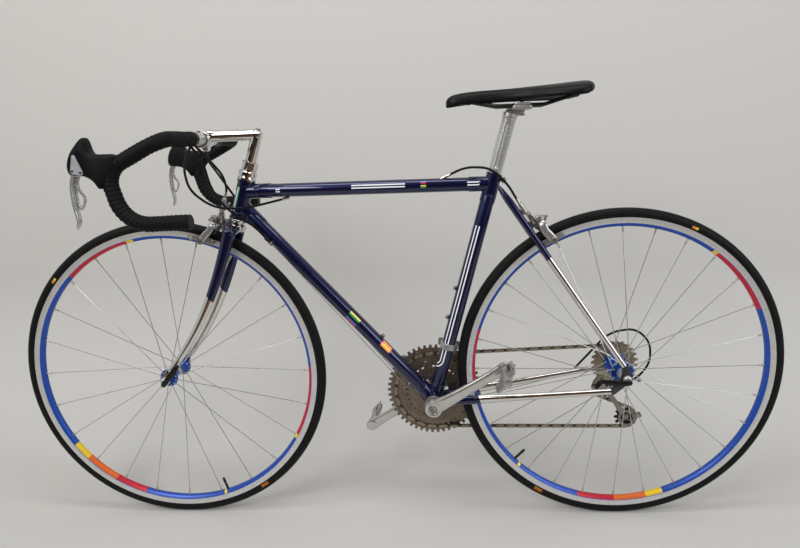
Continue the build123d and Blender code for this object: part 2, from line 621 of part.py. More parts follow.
def make_rim(axle):
    """Rim: flat brake tracks, a box that narrows towards the hub."""
    inner = RIM_RADIUS - RIM_DEPTH
    waist = RIM_RADIUS - BRAKE_TRACK
    half = RIM_WIDTH / 2
    with BuildPart() as rim:
        with BuildSketch(Plane(origin=axle, x_dir=(1, 0, 0), z_dir=(0, 0, 1))) as section:
            with BuildLine():
                Polyline((RIM_RADIUS, -half), (RIM_RADIUS, half), (waist, half), (inner, half * 0.5),
                         (inner, -half * 0.5), (waist, -half), close=True)
            make_face()
        revolve(section.sketch, axis=Axis(axle, (0, 1, 0)))
    return rim.part


SPOKE_R = 1.0
SPOKE_END = RIM_RADIUS - RIM_DEPTH - 0.3
HUB_BODY_R = 12.0
FLANGE_THICKNESS = 3.0
HUB_BORE_R = AXLE_R + RUNNING_GAP


def make_hub(axle, flanges, body_ends, spokes, crossing, freehub_end=None):
    """Hub with its spokes: flanges as (width, radius), spokes crossing by so many holes."""
    with BuildPart() as hub:
        ring_about(axle, body_ends[0], body_ends[1], HUB_BODY_R - 2, HUB_BORE_R)
        if freehub_end is not None:
            ring_about(axle, body_ends[0], freehub_end, FREEHUB_R, HUB_BORE_R)
        ring_about(axle, flanges[0][0], flanges[1][0], HUB_BODY_R, HUB_BORE_R)
        for number, (y, radius) in enumerate(flanges):
            ring_about(axle, y - FLANGE_THICKNESS / 2, y + FLANGE_THICKNESS / 2, radius, HUB_BORE_R)
            per_side = spokes // 2
            for spoke in range(per_side):
                lean = crossing * (1 if spoke % 2 else -1)
                rim_turn = (spoke + 0.5 * number) * 2 * pi / per_side
                hub_turn = rim_turn + lean * 2 * pi / per_side
                root = radius - 3
                start = axle + Vector(root * cos(hub_turn), y, root * sin(hub_turn))
                end = axle + Vector(SPOKE_END * cos(rim_turn), 0, SPOKE_END * sin(rim_turn))
                rod(start, end, SPOKE_R)
    return hub.part


FREEHUB_R = 13.0
FRONT_FLANGES = ((-35.0, 19.0), (35.0, 19.0))
REAR_FLANGES = ((-20.0, 23.0), (37.0, 23.0))
for name, part in (("front_tyre", make_tyre(FRONT_AXLE)), ("front_rim", make_rim(FRONT_AXLE)),
                   ("front_hub_and_spokes",
                    make_hub(FRONT_AXLE, FRONT_FLANGES,
                             (-FRONT_SPACING / 2 + 6, FRONT_SPACING / 2 - 6), 24, 0)),
                   ("rear_tyre", make_tyre(REAR_AXLE)), ("rear_rim", make_rim(REAR_AXLE)),
                   ("rear_hub_and_spokes",
                    make_hub(REAR_AXLE, REAR_FLANGES, (-23, REAR_SPACING / 2 - 6), 28, 1.5,
                             freehub_end=-REAR_SPACING / 2 + 6))):
    save(part, name)

SKEWER_NUT_R = 8.5


def make_axle(axle, spacing):
    """Axle, its cones and the quick-release skewer: nut on the right, lever on the left."""
    face = spacing / 2 + DROPOUT_THICKNESS
    with BuildPart() as pin:
        ring_about(axle, -face, face, AXLE_R, 0)
        for side in (1, -1):
            ring_about(axle, side * (spacing / 2 - 5), side * spacing / 2, 8.0, 0)
            ring_about(axle, side * face, side * (face + 9), SKEWER_NUT_R, 0)
        tip = axle + Vector(14, 0, 34)
        hull_plate([(axle, 6), (tip, 4.5)], face + 9, face + 14)
        ring_about(axle, -face - 9, -face - 15, 5.5, 0)
    return pin.part


save(make_axle(FRONT_AXLE, FRONT_SPACING), "front_axle")
save(make_axle(REAR_AXLE, REAR_SPACING), "rear_axle")

# ---- crankset ------------------------------------------------------------------------------------------
PEDAL_AXLE_R = 6.5
ARM_EYE_R = 13.5
ARM_BOSS_R = 17.0
ARM_WAIST = 9.5
SPIDER_REACH = 62.0
SPIDER_ARMS = 5
BOSS_INNER_Y = 41.0
BOSS_OUTER_Y = 62.0


def pedal_centre(side):
    """Where a pedal's axle meets the crank's middle plane; side is 1 on the left."""
    turn = radians(CRANK_TURN)
    return BB + Vector(-side * CRANK_LENGTH * cos(turn), 0, side * CRANK_LENGTH * sin(turn))


def crank_arm(side):
    """Arm from its boss on the spindle out to the pedal's eye, cranked outwards on the way."""
    eye = pedal_centre(side)
    eye_inner = side * (PEDAL_EYE_Y - CRANK_THICKNESS)
    line = (eye - BB).normalized()
    sections = []
    for share, half, y_in, y_out in ((0.06, 15.0, 44.0, 62.0), (0.3, 12.5, 54.5, 67.0),
                                     (0.65, 10.5, 58.5, 71.0), (0.96, 11.5, 62.5, 75.0)):
        centre = BB + line * (CRANK_LENGTH * share) + Vector(0, side * (y_in + y_out) / 2, 0)
        with BuildSketch(Plane(origin=centre, x_dir=(0, 1, 0), z_dir=line)) as section:
            RectangleRounded(y_out - y_in, 2 * half, 4)
        sections.append(section.sketch)
    loft(sections, ruled=True)
    ring_about(BB, side * BOSS_INNER_Y, side * BOSS_OUTER_Y, ARM_BOSS_R, 0)
    ring_about(eye, eye_inner, side * PEDAL_EYE_Y, ARM_EYE_R, 0)


SPINDLE_END = 58.0
CRANK_BOLT_R = 7.5
with BuildPart() as crank_left:
    crank_arm(1)
    ring_about(BB, 0, SPINDLE_END, SPINDLE_R, 0, mode=Mode.SUBTRACT)
    ring_about(BB, 0, BOSS_OUTER_Y, CRANK_BOLT_R, 0, mode=Mode.SUBTRACT)
save(crank_left.part, "crank_left")

RING_PITCH_R = [CHAIN_PITCH / 2 / sin(pi / teeth) for teeth in RING_TEETH]
RING_BOLT_R = 65.0          # circle of the five bolts of the two large rings
INNER_BOLT_R = 37.0
with BuildPart() as crank_right:
    crank_arm(-1)
    arm_turn = atan2(-sin(radians(CRANK_TURN)), cos(radians(CRANK_TURN)))
    for arm in range(SPIDER_ARMS):
        turn = arm_turn + (arm + 0.5) * 2 * pi / SPIDER_ARMS
        tip = BB + Vector(RING_BOLT_R * cos(turn), 0, RING_BOLT_R * sin(turn))
        hull_plate([(BB, 14), (tip, 6.5)], -RING_Y[1] - RING_THICKNESS / 2,
                   -RING_Y[2] + RING_THICKNESS / 2)
        low = BB + Vector(INNER_BOLT_R * cos(turn), 0, INNER_BOLT_R * sin(turn))
        ring_about(low, -RING_Y[0] - RING_THICKNESS / 2, -RING_Y[1] - RING_THICKNESS, 4.5, 0)
    ring_about(BB, 0, -SPINDLE_END, SPINDLE_R, 0, mode=Mode.SUBTRACT)
    ring_about(BB, 0, -BOSS_OUTER_Y, CRANK_BOLT_R, 0, mode=Mode.SUBTRACT)
save(crank_right.part, "crank_right")


def toothed(plane, teeth, pitch_r, rise):
    """Toothed outline as a sketch: flat-topped teeth on a pitch circle."""
    outline = []
    for tooth in range(teeth):
        for part, r in ((-0.33, pitch_r - 3.6), (-0.14, pitch_r + rise), (0.14, pitch_r + rise),
                        (0.33, pitch_r - 3.6)):
            turn = (tooth + part) * 2 * pi / teeth
            outline.append((r * cos(turn), r * sin(turn)))
    with BuildSketch(plane) as face:
        with BuildLine():
            Polyline(*outline, close=True)
        make_face()
    return face.sketch


def toothed_ring(centre, y, thickness, teeth, inner, chained=False):
    """Chainring, sprocket or pulley; one that carries the chain stays inside its links."""
    pitch_r = CHAIN_PITCH / 2 / sin(pi / teeth)
    plane = Plane(origin=Vector(centre.X, y + thickness / 2, centre.Z), x_dir=(1, 0, 0),
                  z_dir=(0, -1, 0))
    if chained:
        outer = pitch_r - CHAIN_PIN_HALF - CHAIN_CLEARANCE
        ring_about(centre, y - thickness / 2, y + thickness / 2, outer, inner)
    else:
        extrude(toothed(plane, teeth, pitch_r, TOOTH_RISE), amount=thickness)
        if inner:
            ring_about(centre, y - thickness / 2, y + thickness / 2, inner, 0, mode=Mode.SUBTRACT)


with BuildPart() as chainrings:
    for teeth, y, inner in zip(RING_TEETH, RING_Y, (INNER_BOLT_R - 5, RING_BOLT_R - 6, RING_BOLT_R - 6)):
        toothed_ring(BB, -y, RING_THICKNESS, teeth, inner, chained=teeth == RING_TEETH[1])
save(chainrings.part, "chainrings")

with BuildPart() as crank_spindle:
    ring_about(BB, -SPINDLE_END, SPINDLE_END, SPINDLE_R, 0)
    for side in (1, -1):
        ring_about(BB, side * SPINDLE_END, side * (BOSS_OUTER_Y + 1), CRANK_BOLT_R, 0)
save(crank_spindle.part, "crank_spindle")

# ---- pedals ----------------------------------------------------------------------------------------------
PEDAL_INNER_Y = PEDAL_EYE_Y + 5
PEDAL_OUTER_Y = PEDAL_EYE_Y + 75
PEDAL_HANG = 58.0           # a free pedal hangs with its front edge down, degrees
PEDAL_AHEAD = Vector(cos(radians(PEDAL_HANG)), 0, -sin(radians(PEDAL_HANG)))
with BuildPart() as pedal_axles:
    for side in (1, -1):
        eye = pedal_centre(side)
        ring_about(eye, side * PEDAL_EYE_Y, side * (PEDAL_EYE_Y + 4), PEDAL_AXLE_R + 2, 0)
        ring_about(eye, side * (PEDAL_EYE_Y + 4), side * (PEDAL_OUTER_Y - 8), PEDAL_AXLE_R - 1.5, 0)
save(pedal_axles.part, "pedal_axles")

for side, name in ((1, "left"), (-1, "right")):
    eye = pedal_centre(side)
    with BuildPart() as pedal:
        ring_about(eye, side * PEDAL_INNER_Y, side * PEDAL_OUTER_Y, 10.0, 0)
        hull_plate([(eye + PEDAL_AHEAD * 30, 6), (eye - PEDAL_AHEAD * 27, 6)],
                   side * (PEDAL_INNER_Y + 14), side * (PEDAL_OUTER_Y - 8))
        ring_about(eye, side * PEDAL_INNER_Y, side * (PEDAL_OUTER_Y - 6), PEDAL_AXLE_R - 1.5 + RUNNING_GAP, 0,
                   mode=Mode.SUBTRACT)
    save(pedal.part, f"pedal_{name}")

# ---- cassette, pulleys and chain ---------------------------------------------------------------------------
with BuildPart() as cassette:
    driven = SPROCKET_TEETH.index(DRIVEN_SPROCKET)
    for index, teeth in enumerate(SPROCKET_TEETH):
        y = -CHAIN_LINE - (driven - index) * SPROCKET_STEP
        toothed_ring(REAR_AXLE, y, SPROCKET_THICKNESS, teeth, 0, chained=teeth == DRIVEN_SPROCKET)
    large_y = -CHAIN_LINE + (len(SPROCKET_TEETH) - 1 - driven) * SPROCKET_STEP
    small_y = -CHAIN_LINE - driven * SPROCKET_STEP
    ring_about(REAR_AXLE, small_y, large_y, 16.0, 0)
    ring_about(REAR_AXLE, small_y - 2, large_y + 2, FREEHUB_R + 0.1, 0, mode=Mode.SUBTRACT)
save(cassette.part, "cassette")

GUIDE_PULLEY = at(16.0, -CHAIN_LINE, -63.0)
TENSION_PULLEY = at(-33.0, -CHAIN_LINE, -133.0)
PULLEY_R = CHAIN_PITCH / 2 / sin(pi / PULLEY_TEETH)
with BuildPart() as derailleur_pulleys:
    for centre in (GUIDE_PULLEY, TENSION_PULLEY):
        ring_about(centre, -CHAIN_LINE - 1.2, -CHAIN_LINE + 1.2, PULLEY_R - CHAIN_PIN_HALF - CHAIN_CLEARANCE, 3.0)
        ring_about(centre, -CHAIN_LINE - 4, -CHAIN_LINE + 4, 7.0, 3.0)
save(derailleur_pulleys.part, "derailleur_pulleys")


def tangent_run(c0, r0, s0, c1, r1, s1):
    """Straight run that leaves wheel 0 and reaches wheel 1; s is 1 for anticlockwise travel."""
    dx, dz = c1.X - c0.X, c1.Z - c0.Z
    distance, heading = hypot(dx, dz), atan2(dz, dx)
    lean = asin((s0 * r0 - s1 * r1) / distance)
    travel = heading + lean
    side0, side1 = travel - s0 * pi / 2, travel - s1 * pi / 2
    return ((c0.X + r0 * cos(side0), c0.Z + r0 * sin(side0)), side0,
            (c1.X + r1 * cos(side1), c1.Z + r1 * sin(side1)), side1)


DRIVEN_R = CHAIN_PITCH / 2 / sin(pi / DRIVEN_SPROCKET)
CHAIN_WHEELS = ((BB, RING_PITCH_R[1], 1), (REAR_AXLE, DRIVEN_R, 1), (GUIDE_PULLEY, PULLEY_R, -1),
                (TENSION_PULLEY, PULLEY_R, 1))


def chain_path():
    """The chain's loop as straight and round stretches: (length, function of distance)."""
    runs = [tangent_run(*a, *b) for a, b in zip(CHAIN_WHEELS, CHAIN_WHEELS[1:] + CHAIN_WHEELS[:1])]
    pieces = []
    for (centre, radius, spin), arriving, leaving in zip(CHAIN_WHEELS, runs[-1:] + runs[:-1], runs):
        start, end = arriving[3], leaving[1]
        sweep_angle = ((end - start) * spin) % (2 * pi)
        pieces.append((radius * sweep_angle, ("arc", centre, radius, spin, start)))
        (x0, z0), (x1, z1) = leaving[0], leaving[2]
        pieces.append((hypot(x1 - x0, z1 - z0), ("run", x0, z0, x1, z1)))
    return pieces


def chain_point(pieces, distance):
    """Point of the loop and its left-hand normal at a distance round it."""
    for length, piece in pieces:
        if distance <= length:
            if piece[0] == "run":
                _, x0, z0, x1, z1 = piece
                ux, uz = (x1 - x0) / length, (z1 - z0) / length
                return x0 + ux * distance, z0 + uz * distance, -uz, ux
            _, centre, radius, spin, start = piece
            turn = start + spin * distance / radius
            return (centre.X + radius * cos(turn), centre.Z + radius * sin(turn),
                    -spin * cos(turn), -spin * sin(turn))
        distance -= length
    return chain_point(pieces, 0.0)


PIECES = chain_path()
LOOP = sum(length for length, _ in PIECES)
LINKS = 2 * round(LOOP / CHAIN_PITCH / 2)
with BuildPart() as chain:
    outlines = {1: [], -1: []}
    for half_link in range(2 * LINKS):
        x, z, nx, nz = chain_point(PIECES, half_link * LOOP / (2 * LINKS))
        reach = CHAIN_WAIST_HALF if half_link % 2 else CHAIN_PIN_HALF
        for side in (1, -1):
            outlines[side].append((x + side * reach * nx, z + side * reach * nz))
    plane = Plane(origin=(0, -CHAIN_LINE + CHAIN_WIDTH / 2, 0), x_dir=(1, 0, 0), z_dir=(0, -1, 0))
    with BuildSketch(plane) as loop:
        for side, how in ((-1, Mode.ADD), (1, Mode.SUBTRACT)):
            with BuildLine():
                Polyline(*outlines[side], close=True)
            make_face(mode=how)
    extrude(loop.sketch, amount=CHAIN_WIDTH)
save(chain.part, "chain")
print("chain", LINKS, "links, loop", round(LOOP), "at pitch", round(LOOP / LINKS, 2))

# ---- brakes ------------------------------------------------------------------------------------------
PAD_GAP = 2.0               # from the rim on each side
PAD_THICKNESS = 8.0
PAD_LENGTH = 46.0
PAD_HEIGHT = 8.5
ARM_THICKNESS = 6.5
BRAKE_BOLT_R = 3.0
BARREL_TOP = 58.0           # cable adjuster above the brake's bolt
PAD_RADIUS = RIM_RADIUS - BRAKE_TRACK / 2
FRONT_PAD_OUT = 36.0        # the pads' middle, out from the face that the brake is bolted to
REAR_PAD_OUT = 22.0
SHIN_FOOT = (14.0, -6.0)    # where an arm turns down to its pad: out from the face, and up
SHIN_REACH = ((0.0, 0.0, 7.0), (0.42, 0.32, 7.0), (0.76, 0.64, 7.2), (1.0, 1.0, 7.0))
SHIN_Y = (25.0, 34.0)


def disc_chain(plane, discs, thickness, lift=1):
    """Plate along a chain of discs (across, up, radius) on a plane."""
    for (x0, z0, r0), (x1, z1, r1) in zip(discs, discs[1:]):
        with BuildSketch(plane) as link:
            for x, z, radius in ((x0, z0, r0), (x1, z1, r1)):
                with Locations((x, z * lift)):
                    Circle(radius)
            make_hull()
        extrude(link.sketch, amount=thickness)


def make_brake(face, out, up, axle, pad_out):
    """Caliper: two crossed arms on one bolt, cable adjuster on the left, a pad each side."""
    arms = Plane(origin=face + out * 5, x_dir=(0, 1, 0), z_dir=out)
    lift = 1 if arms.y_dir.dot(up) > 0 else -1

    def spot(across, rise, outward):
        return face + Vector(0, across, 0) + up * rise + out * outward

    level = spot(0, 0, pad_out) - axle
    height = level.dot(up)
    aside = (level - up * height).length
    drop = sqrt(PAD_RADIUS ** 2 - aside ** 2) - height
    pad_line = (spot(0, drop, pad_out) - axle).normalized()
    along_rim = Vector(-pad_line.Z, 0, pad_line.X)
    with BuildPart() as brake:
        rod(face, face + out * 24, BRAKE_BOLT_R)
        disc_chain(arms, [(26, 34, 4.5), (13, 20, 5.5), (0, 3, 9), (-22, -2, 6.5), (-28, -8, 6)],
                   ARM_THICKNESS, lift)
        disc_chain(arms.offset(ARM_THICKNESS), [(26, 10, 4.5), (0, 2, 9), (22, -2, 6.5), (28, -8, 6)],
                   ARM_THICKNESS, lift)
        rod(spot(26, 34, 8), spot(26, BARREL_TOP, 8), 3.6)
        rod(spot(26, BARREL_TOP - 12, 8), spot(26, BARREL_TOP - 2, 8), 4.8)
        for side in (1, -1):
            inner = RIM_WIDTH / 2 + PAD_GAP
            pad_middle = axle + pad_line * PAD_RADIUS + Vector(0, side * (inner + PAD_THICKNESS / 2), 0)
            with BuildSketch(Plane(origin=pad_middle, x_dir=along_rim, z_dir=(0, side, 0))) as shoe:
                RectangleRounded(PAD_LENGTH, PAD_HEIGHT, 3)
            extrude(shoe.sketch, amount=PAD_THICKNESS / 2, both=True)
            shin = Plane(origin=spot(side * SHIN_Y[0], 0, 0), x_dir=out, z_dir=(0, side, 0))
            foot_out, foot_up = SHIN_FOOT
            disc_chain(shin, [(foot_out + (pad_out - foot_out) * ahead, foot_up + (drop - foot_up) * down, radius)
                              for ahead, down, radius in SHIN_REACH], SHIN_Y[1] - SHIN_Y[0],
                       1 if shin.y_dir.dot(up) > 0 else -1)
            rod(spot(side * (inner + PAD_THICKNESS - 2), drop, pad_out), spot(side * (SHIN_Y[1] + 2), drop, pad_out),
                4)
    return brake.part


REAR_BRAKE_FACE = BRIDGE + STAY_BACK * 6
save(make_brake(REAR_BRAKE_FACE, STAY_BACK, STAY_UP, REAR_AXLE, REAR_PAD_OUT), "rear_brake")
CROWN_BOLT_UP = CROWN_BOTTOM + 11
FRONT_BRAKE_FACE = fork_at(CROWN_BOLT_UP, CROWN_LEAN + BLADE_DEPTH / 2 + 3.2)
save(make_brake(FRONT_BRAKE_FACE, HEAD_AHEAD, HEAD_UP, FRONT_AXLE, FRONT_PAD_OUT), "front_brake")

# ---- brake levers and their hoods ---------------------------------------------------------------------
HOOD_HALF = 15.0
HOOD_OUTLINE = ((84, -26), (122, -22), (129, -4), (134, 6), (141, 4), (157, -20), (146, -58),
                (118, -73), (111, -82), (100, -78))
LEVER_HEAD = ((148, -22), (160, -24), (168, -42), (166, -58), (140, -60))
LEVER_BLADE = ((164, -50, 6.5), (169, -80, 5), (169.5, -108, 4.5), (163, -134, 4.5), (168, -150, 4))
SHIFT_PADDLE = ((156, -54, 3.5), (154, -84, 3), (146, -102, 3), (150, -118, 3))


def bar_spot(x, y, z):
    """Point measured from the middle of the bar's clamp."""
    return BAR_CENTRE + Vector(x, y, z)


for side, name, drop_part in ((1, "left", drops[0]), (-1, "right", drops[1])):
    middle = side * (BAR_HALF + 1)
    with BuildPart() as hood:
        side_plate([bar_spot(x, 0, z) for x, z in HOOD_OUTLINE], middle - HOOD_HALF, middle + HOOD_HALF)
        sides = hood.faces().filter_by(Axis.Y)
        fillet(sides.edges(), radius=5)
        add(drop_part, mode=Mode.SUBTRACT)
    save(hood.part, f"brake_hood_{name}")
    with BuildPart() as lever:
        side_plate([bar_spot(x, 0, z) for x, z in LEVER_HEAD], middle - 9, middle + 9)
        for discs, half in ((LEVER_BLADE, 6.0), (SHIFT_PADDLE, 1.5)):
            hulls = [(bar_spot(x, 0, z), radius) for x, z, radius in discs]
            for pair in zip(hulls, hulls[1:]):
                hull_plate(pair, middle - half, middle + half)
        add(hood.part, mode=Mode.SUBTRACT)
    save(lever.part, f"brake_lever_{name}")

# ---- derailleurs -----------------------------------------------------------------------------------------
CAGE_INNER_Y = -38.6
CAGE_OUTER_Y = -52.4
CAGE_LOW_R = RING_PITCH_R[2] + TOOTH_RISE + 3.4     # clear of the large ring's teeth
CAGE_HIGH_R = CAGE_LOW_R + 15
CAGE_TURNS = (96, 138)      # degrees round the bottom bracket from straight ahead
MECH_HEIGHT = 119.0         # the band, above the bottom bracket
FRONT_MECH = seat_axis(MECH_HEIGHT - BB_DROP)
MECH_BAND = 13.0
with BuildPart() as front_derailleur:
    rod(FRONT_MECH - SEAT_LINE * MECH_BAND / 2, FRONT_MECH + SEAT_LINE * MECH_BAND / 2, SEAT_TUBE_R + 2.5)
    rod(FRONT_MECH - SEAT_LINE * MECH_BAND, FRONT_MECH + SEAT_LINE * MECH_BAND, SEAT_TUBE_R,
        mode=Mode.SUBTRACT)
    middle_turn = radians(sum(CAGE_TURNS) / 2 - 6)
    cage_top = BB + Vector((CAGE_HIGH_R - 4) * cos(middle_turn), 0, (CAGE_HIGH_R - 4) * sin(middle_turn))
    hull_plate([(FRONT_MECH, 6), (FRONT_MECH - SEAT_NORMAL * 6, 6)], -SEAT_TUBE_R - 1, -26)
    hull_plate([(FRONT_MECH, 6), (cage_top, 5)], -25, -33)
    for y in (CAGE_INNER_Y, CAGE_OUTER_Y):
        with BuildSketch(Plane(origin=(BB.X, y + 0.6, BB.Z), x_dir=(1, 0, 0), z_dir=(0, -1, 0))) as plate:
            with BuildLine():
                start, stop = CAGE_TURNS
                CenterArc((0, 0), CAGE_LOW_R, start, stop - start)
                CenterArc((0, 0), CAGE_HIGH_R, start, stop - start)
                for turn in CAGE_TURNS:
                    Line(*[(r * cos(radians(turn)), r * sin(radians(turn))) for r in (CAGE_LOW_R, CAGE_HIGH_R)])
            make_face()
        extrude(plate.sketch, amount=1.2)
    rod(cage_top + Vector(0, -26, 0), cage_top + Vector(0, CAGE_OUTER_Y, 0), 3.2)
save(front_derailleur.part, "front_derailleur")

PULLEY_PIN_R = 2.8
MECH_PLATE = 1.8
PLATE_Y = (-CHAIN_LINE + CHAIN_WIDTH / 2 + 1.2, -CHAIN_LINE - CHAIN_WIDTH / 2 - 1.2 - MECH_PLATE)
HANGER = at(7, 0, -27)
MECH_BARREL = at(-22, -72, -75)
MECH_BARREL_END = at(-72, -84, -55)
with BuildPart() as rear_derailleur:
    for y in PLATE_Y:
        hull_plate([(GUIDE_PULLEY, 9), (TENSION_PULLEY, 7)], y, y + MECH_PLATE)
        hull_plate([(TENSION_PULLEY, 7), (TENSION_PULLEY + Vector(-34, 0, 5), 4)], y, y + MECH_PLATE)
    for centre in (GUIDE_PULLEY, TENSION_PULLEY):
        ring_about(centre, PLATE_Y[0], PLATE_Y[1], PULLEY_PIN_R, 0)
    outer_y = PLATE_Y[1]
    knuckle_y = -REAR_SPACING / 2 - DROPOUT_THICKNESS
    ring_about(GUIDE_PULLEY + Vector(6, 0, 8), outer_y, outer_y - 13, 10, 0)
    rod(Vector(HANGER.X + 5, knuckle_y - 6, HANGER.Z - 6), Vector(HANGER.X + 14, outer_y - 9, HANGER.Z - 29), 7)
    ring_about(HANGER, knuckle_y - 0.1, knuckle_y - 14, 9, 0)
    hull_plate([(HANGER, 6), (HANGER + Vector(-17, 0, 3), 4)], knuckle_y - 4, knuckle_y - 12)
    rod(Vector(GUIDE_PULLEY.X, outer_y - 8, GUIDE_PULLEY.Z), MECH_BARREL, 4.0)
    rod(MECH_BARREL, along(MECH_BARREL, MECH_BARREL_END, 10), 4.6)
    add(rear_dropouts.part, mode=Mode.SUBTRACT)
save(rear_derailleur.part, "rear_derailleur")

# ---- cable stops, bare cables and housings -------------------------------------------------------------
STOP_SIDE = 17.5
STOP_DROP = 7.4             # below the down tube's centre line
BARREL_R = 3.9
BARREL_LENGTH = 22.0
STOP_DOWN = 104.0           # from the head tube along the down tube
GUIDE_DEPTH = 4.0
GUIDE_Y = 8.0
GUIDE_FRONT = 13.0          # ahead of the bottom bracket's axis, and behind it
GUIDE_REAR = -8.0
STOP_RUN = 30.0             # straight end of a housing before its stop
HOUSING_GAP = 0.3           # from a stop on the frame to a housing that the steering carries
STAY_STOP = at(78, -71.8, -34)
STAY_LOOP = at(-2, -82, 50)
STAY_STOP_LINE = (STAY_LOOP - STAY_STOP).normalized()
TUBE_ENTRY = TOP_TUBE_HEAD + Vector(-80.2, 6, -17.9)
ENTRY_BEND = TOP_TUBE_HEAD + Vector(-12.2, 40, -31.5)
TUBE_EXIT = TOP_TUBE_SEAT + Vector(90.6, 2, 17.1)
EXIT_BEND = TOP_TUBE_SEAT + Vector(52.6, 10, 34.5)


def down_stop(side, distance):
    """Point on a gear cable's line beside the down tube, a distance from the head tube."""
    return along(DOWN_TUBE_HEAD, BB, distance) - DOWN_NORMAL * STOP_DROP + Vector(0, side * STOP_SIDE, 0)


def guide_mouth(side, x=GUIDE_FRONT):
    """Point where a gear cable meets the guide under the bottom bracket."""
    return BB + Vector(x, side * GUIDE_Y, -BB_SHELL_R - GUIDE_DEPTH / 2 - 0.4)


with BuildPart() as cable_stops:
    for side in (1, -1):
        foot = along(DOWN_TUBE_HEAD, BB, STOP_DOWN - 4)
        rod(down_stop(side, STOP_DOWN - BARREL_LENGTH), down_stop(side, STOP_DOWN), BARREL_R)
        rod(foot, down_stop(side, STOP_DOWN - 4), 3.5)
    side_plate([BB + Vector(x, 0, z) for x in (GUIDE_REAR, GUIDE_FRONT)
                for z in sorted((1.4 - BB_SHELL_R, -BB_SHELL_R - GUIDE_DEPTH), reverse=x > 0)], -13, 13)
    rod(STAY_STOP - STAY_STOP_LINE * 10, STAY_STOP, 3.6)
    rod(STAY_STOP - STAY_STOP_LINE * 8 + Vector(0, 6, 0), STAY_STOP - STAY_STOP_LINE * 8, 3.0)
    rod(TUBE_ENTRY, along(TUBE_ENTRY, ENTRY_BEND, -14), 3.4)
    rod(TUBE_EXIT, along(TUBE_EXIT, EXIT_BEND, -12), 3.4)
    for tube in (down_tube, top_tube, chainstays, bottom_bracket_shell):
        add(tube.part, mode=Mode.SUBTRACT)
save(cable_stops.part, "cable_stops")

with BuildPart() as gear_cables:
    for side in (1, -1):
        rod(down_stop(side, STOP_DOWN), guide_mouth(side), CABLE_R)
    rod(guide_mouth(-1, GUIDE_REAR), STAY_STOP - STAY_STOP_LINE * 10, CABLE_R)
    add(cable_stops.part, mode=Mode.SUBTRACT)
save(gear_cables.part, "gear_cables")


def barrel_top(face, out, up):
    """Top of a brake's cable adjuster."""
    return face + up * BARREL_TOP + out * 8 + Vector(0, 26, 0)


def route(*places):
    """Hand-set route, measured from the rear axle."""
    return [at(*place) for place in places]


STOP_TOP = STOP_DOWN - BARREL_LENGTH
with BuildPart() as front_brake_housing:
    top = barrel_top(FRONT_BRAKE_FACE, HEAD_AHEAD, HEAD_UP)
    housing([*route((834, 66, 486), (812, 50, 455), (795, 32, 425)), top + HEAD_UP * 18, top])
    add(drops[0], mode=Mode.SUBTRACT)
save(front_brake_housing.part, "front_brake_housing")

with BuildPart() as rear_brake_housing_front:
    housing([*route((840, 67, 486), (855, 80, 446), (846, 84, 400), (806, 68, 363)), ENTRY_BEND,
             along(TUBE_ENTRY, ENTRY_BEND, HOUSING_GAP)])
    add(drops[0], mode=Mode.SUBTRACT)
save(rear_brake_housing_front.part, "rear_brake_housing_front")

with BuildPart() as rear_brake_housing_rear:
    top = barrel_top(REAR_BRAKE_FACE, STAY_BACK, STAY_UP)
    housing([TUBE_EXIT, EXIT_BEND, *route((262, 25, 422), (228, 27, 385)), top + STAY_UP * 16, top])
save(rear_brake_housing_rear.part, "rear_brake_housing_rear")

with BuildPart() as left_shift_housing:
    housing([*route((838, 78, 486), (822, 60, 452), (815, 50, 398), (788, 38, 354)),
             down_stop(1, STOP_TOP - STOP_RUN), down_stop(1, STOP_TOP - HOUSING_GAP)])
    add(drops[0], mode=Mode.SUBTRACT)
save(left_shift_housing.part, "left_shift_housing")

with BuildPart() as right_shift_housing:
    housing([*route((842, -67, 486), (858, -52, 460), (815, -36, 404), (780, -30, 352)),
             down_stop(-1, STOP_TOP - STOP_RUN), down_stop(-1, STOP_TOP - HOUSING_GAP)])
    add(drops[1], mode=Mode.SUBTRACT)
save(right_shift_housing.part, "right_shift_housing")

with BuildPart() as rear_derailleur_housing:
    housing([STAY_STOP, STAY_LOOP, *route((-60, -85, 57), (-93, -86, 25), (-95, -86, -22), (-72, -84, -55)),
             along(MECH_BARREL, MECH_BARREL_END, 10)])
save(rear_derailleur_housing.part, "rear_derailleur_housing")
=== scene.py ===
"""Road racing bicycle: the looks of a lugged steel frame, its wheels, gears, bar and saddle.

The script follows the bicycle as it is put together, one section for each piece or group of
like pieces. Metres; +X forward, +Y the rider's left, +Z up; the origin is on the saddle.
"""
import json
import math

import bmesh
import bpy
import numpy as np
from mathutils import Matrix, Vector

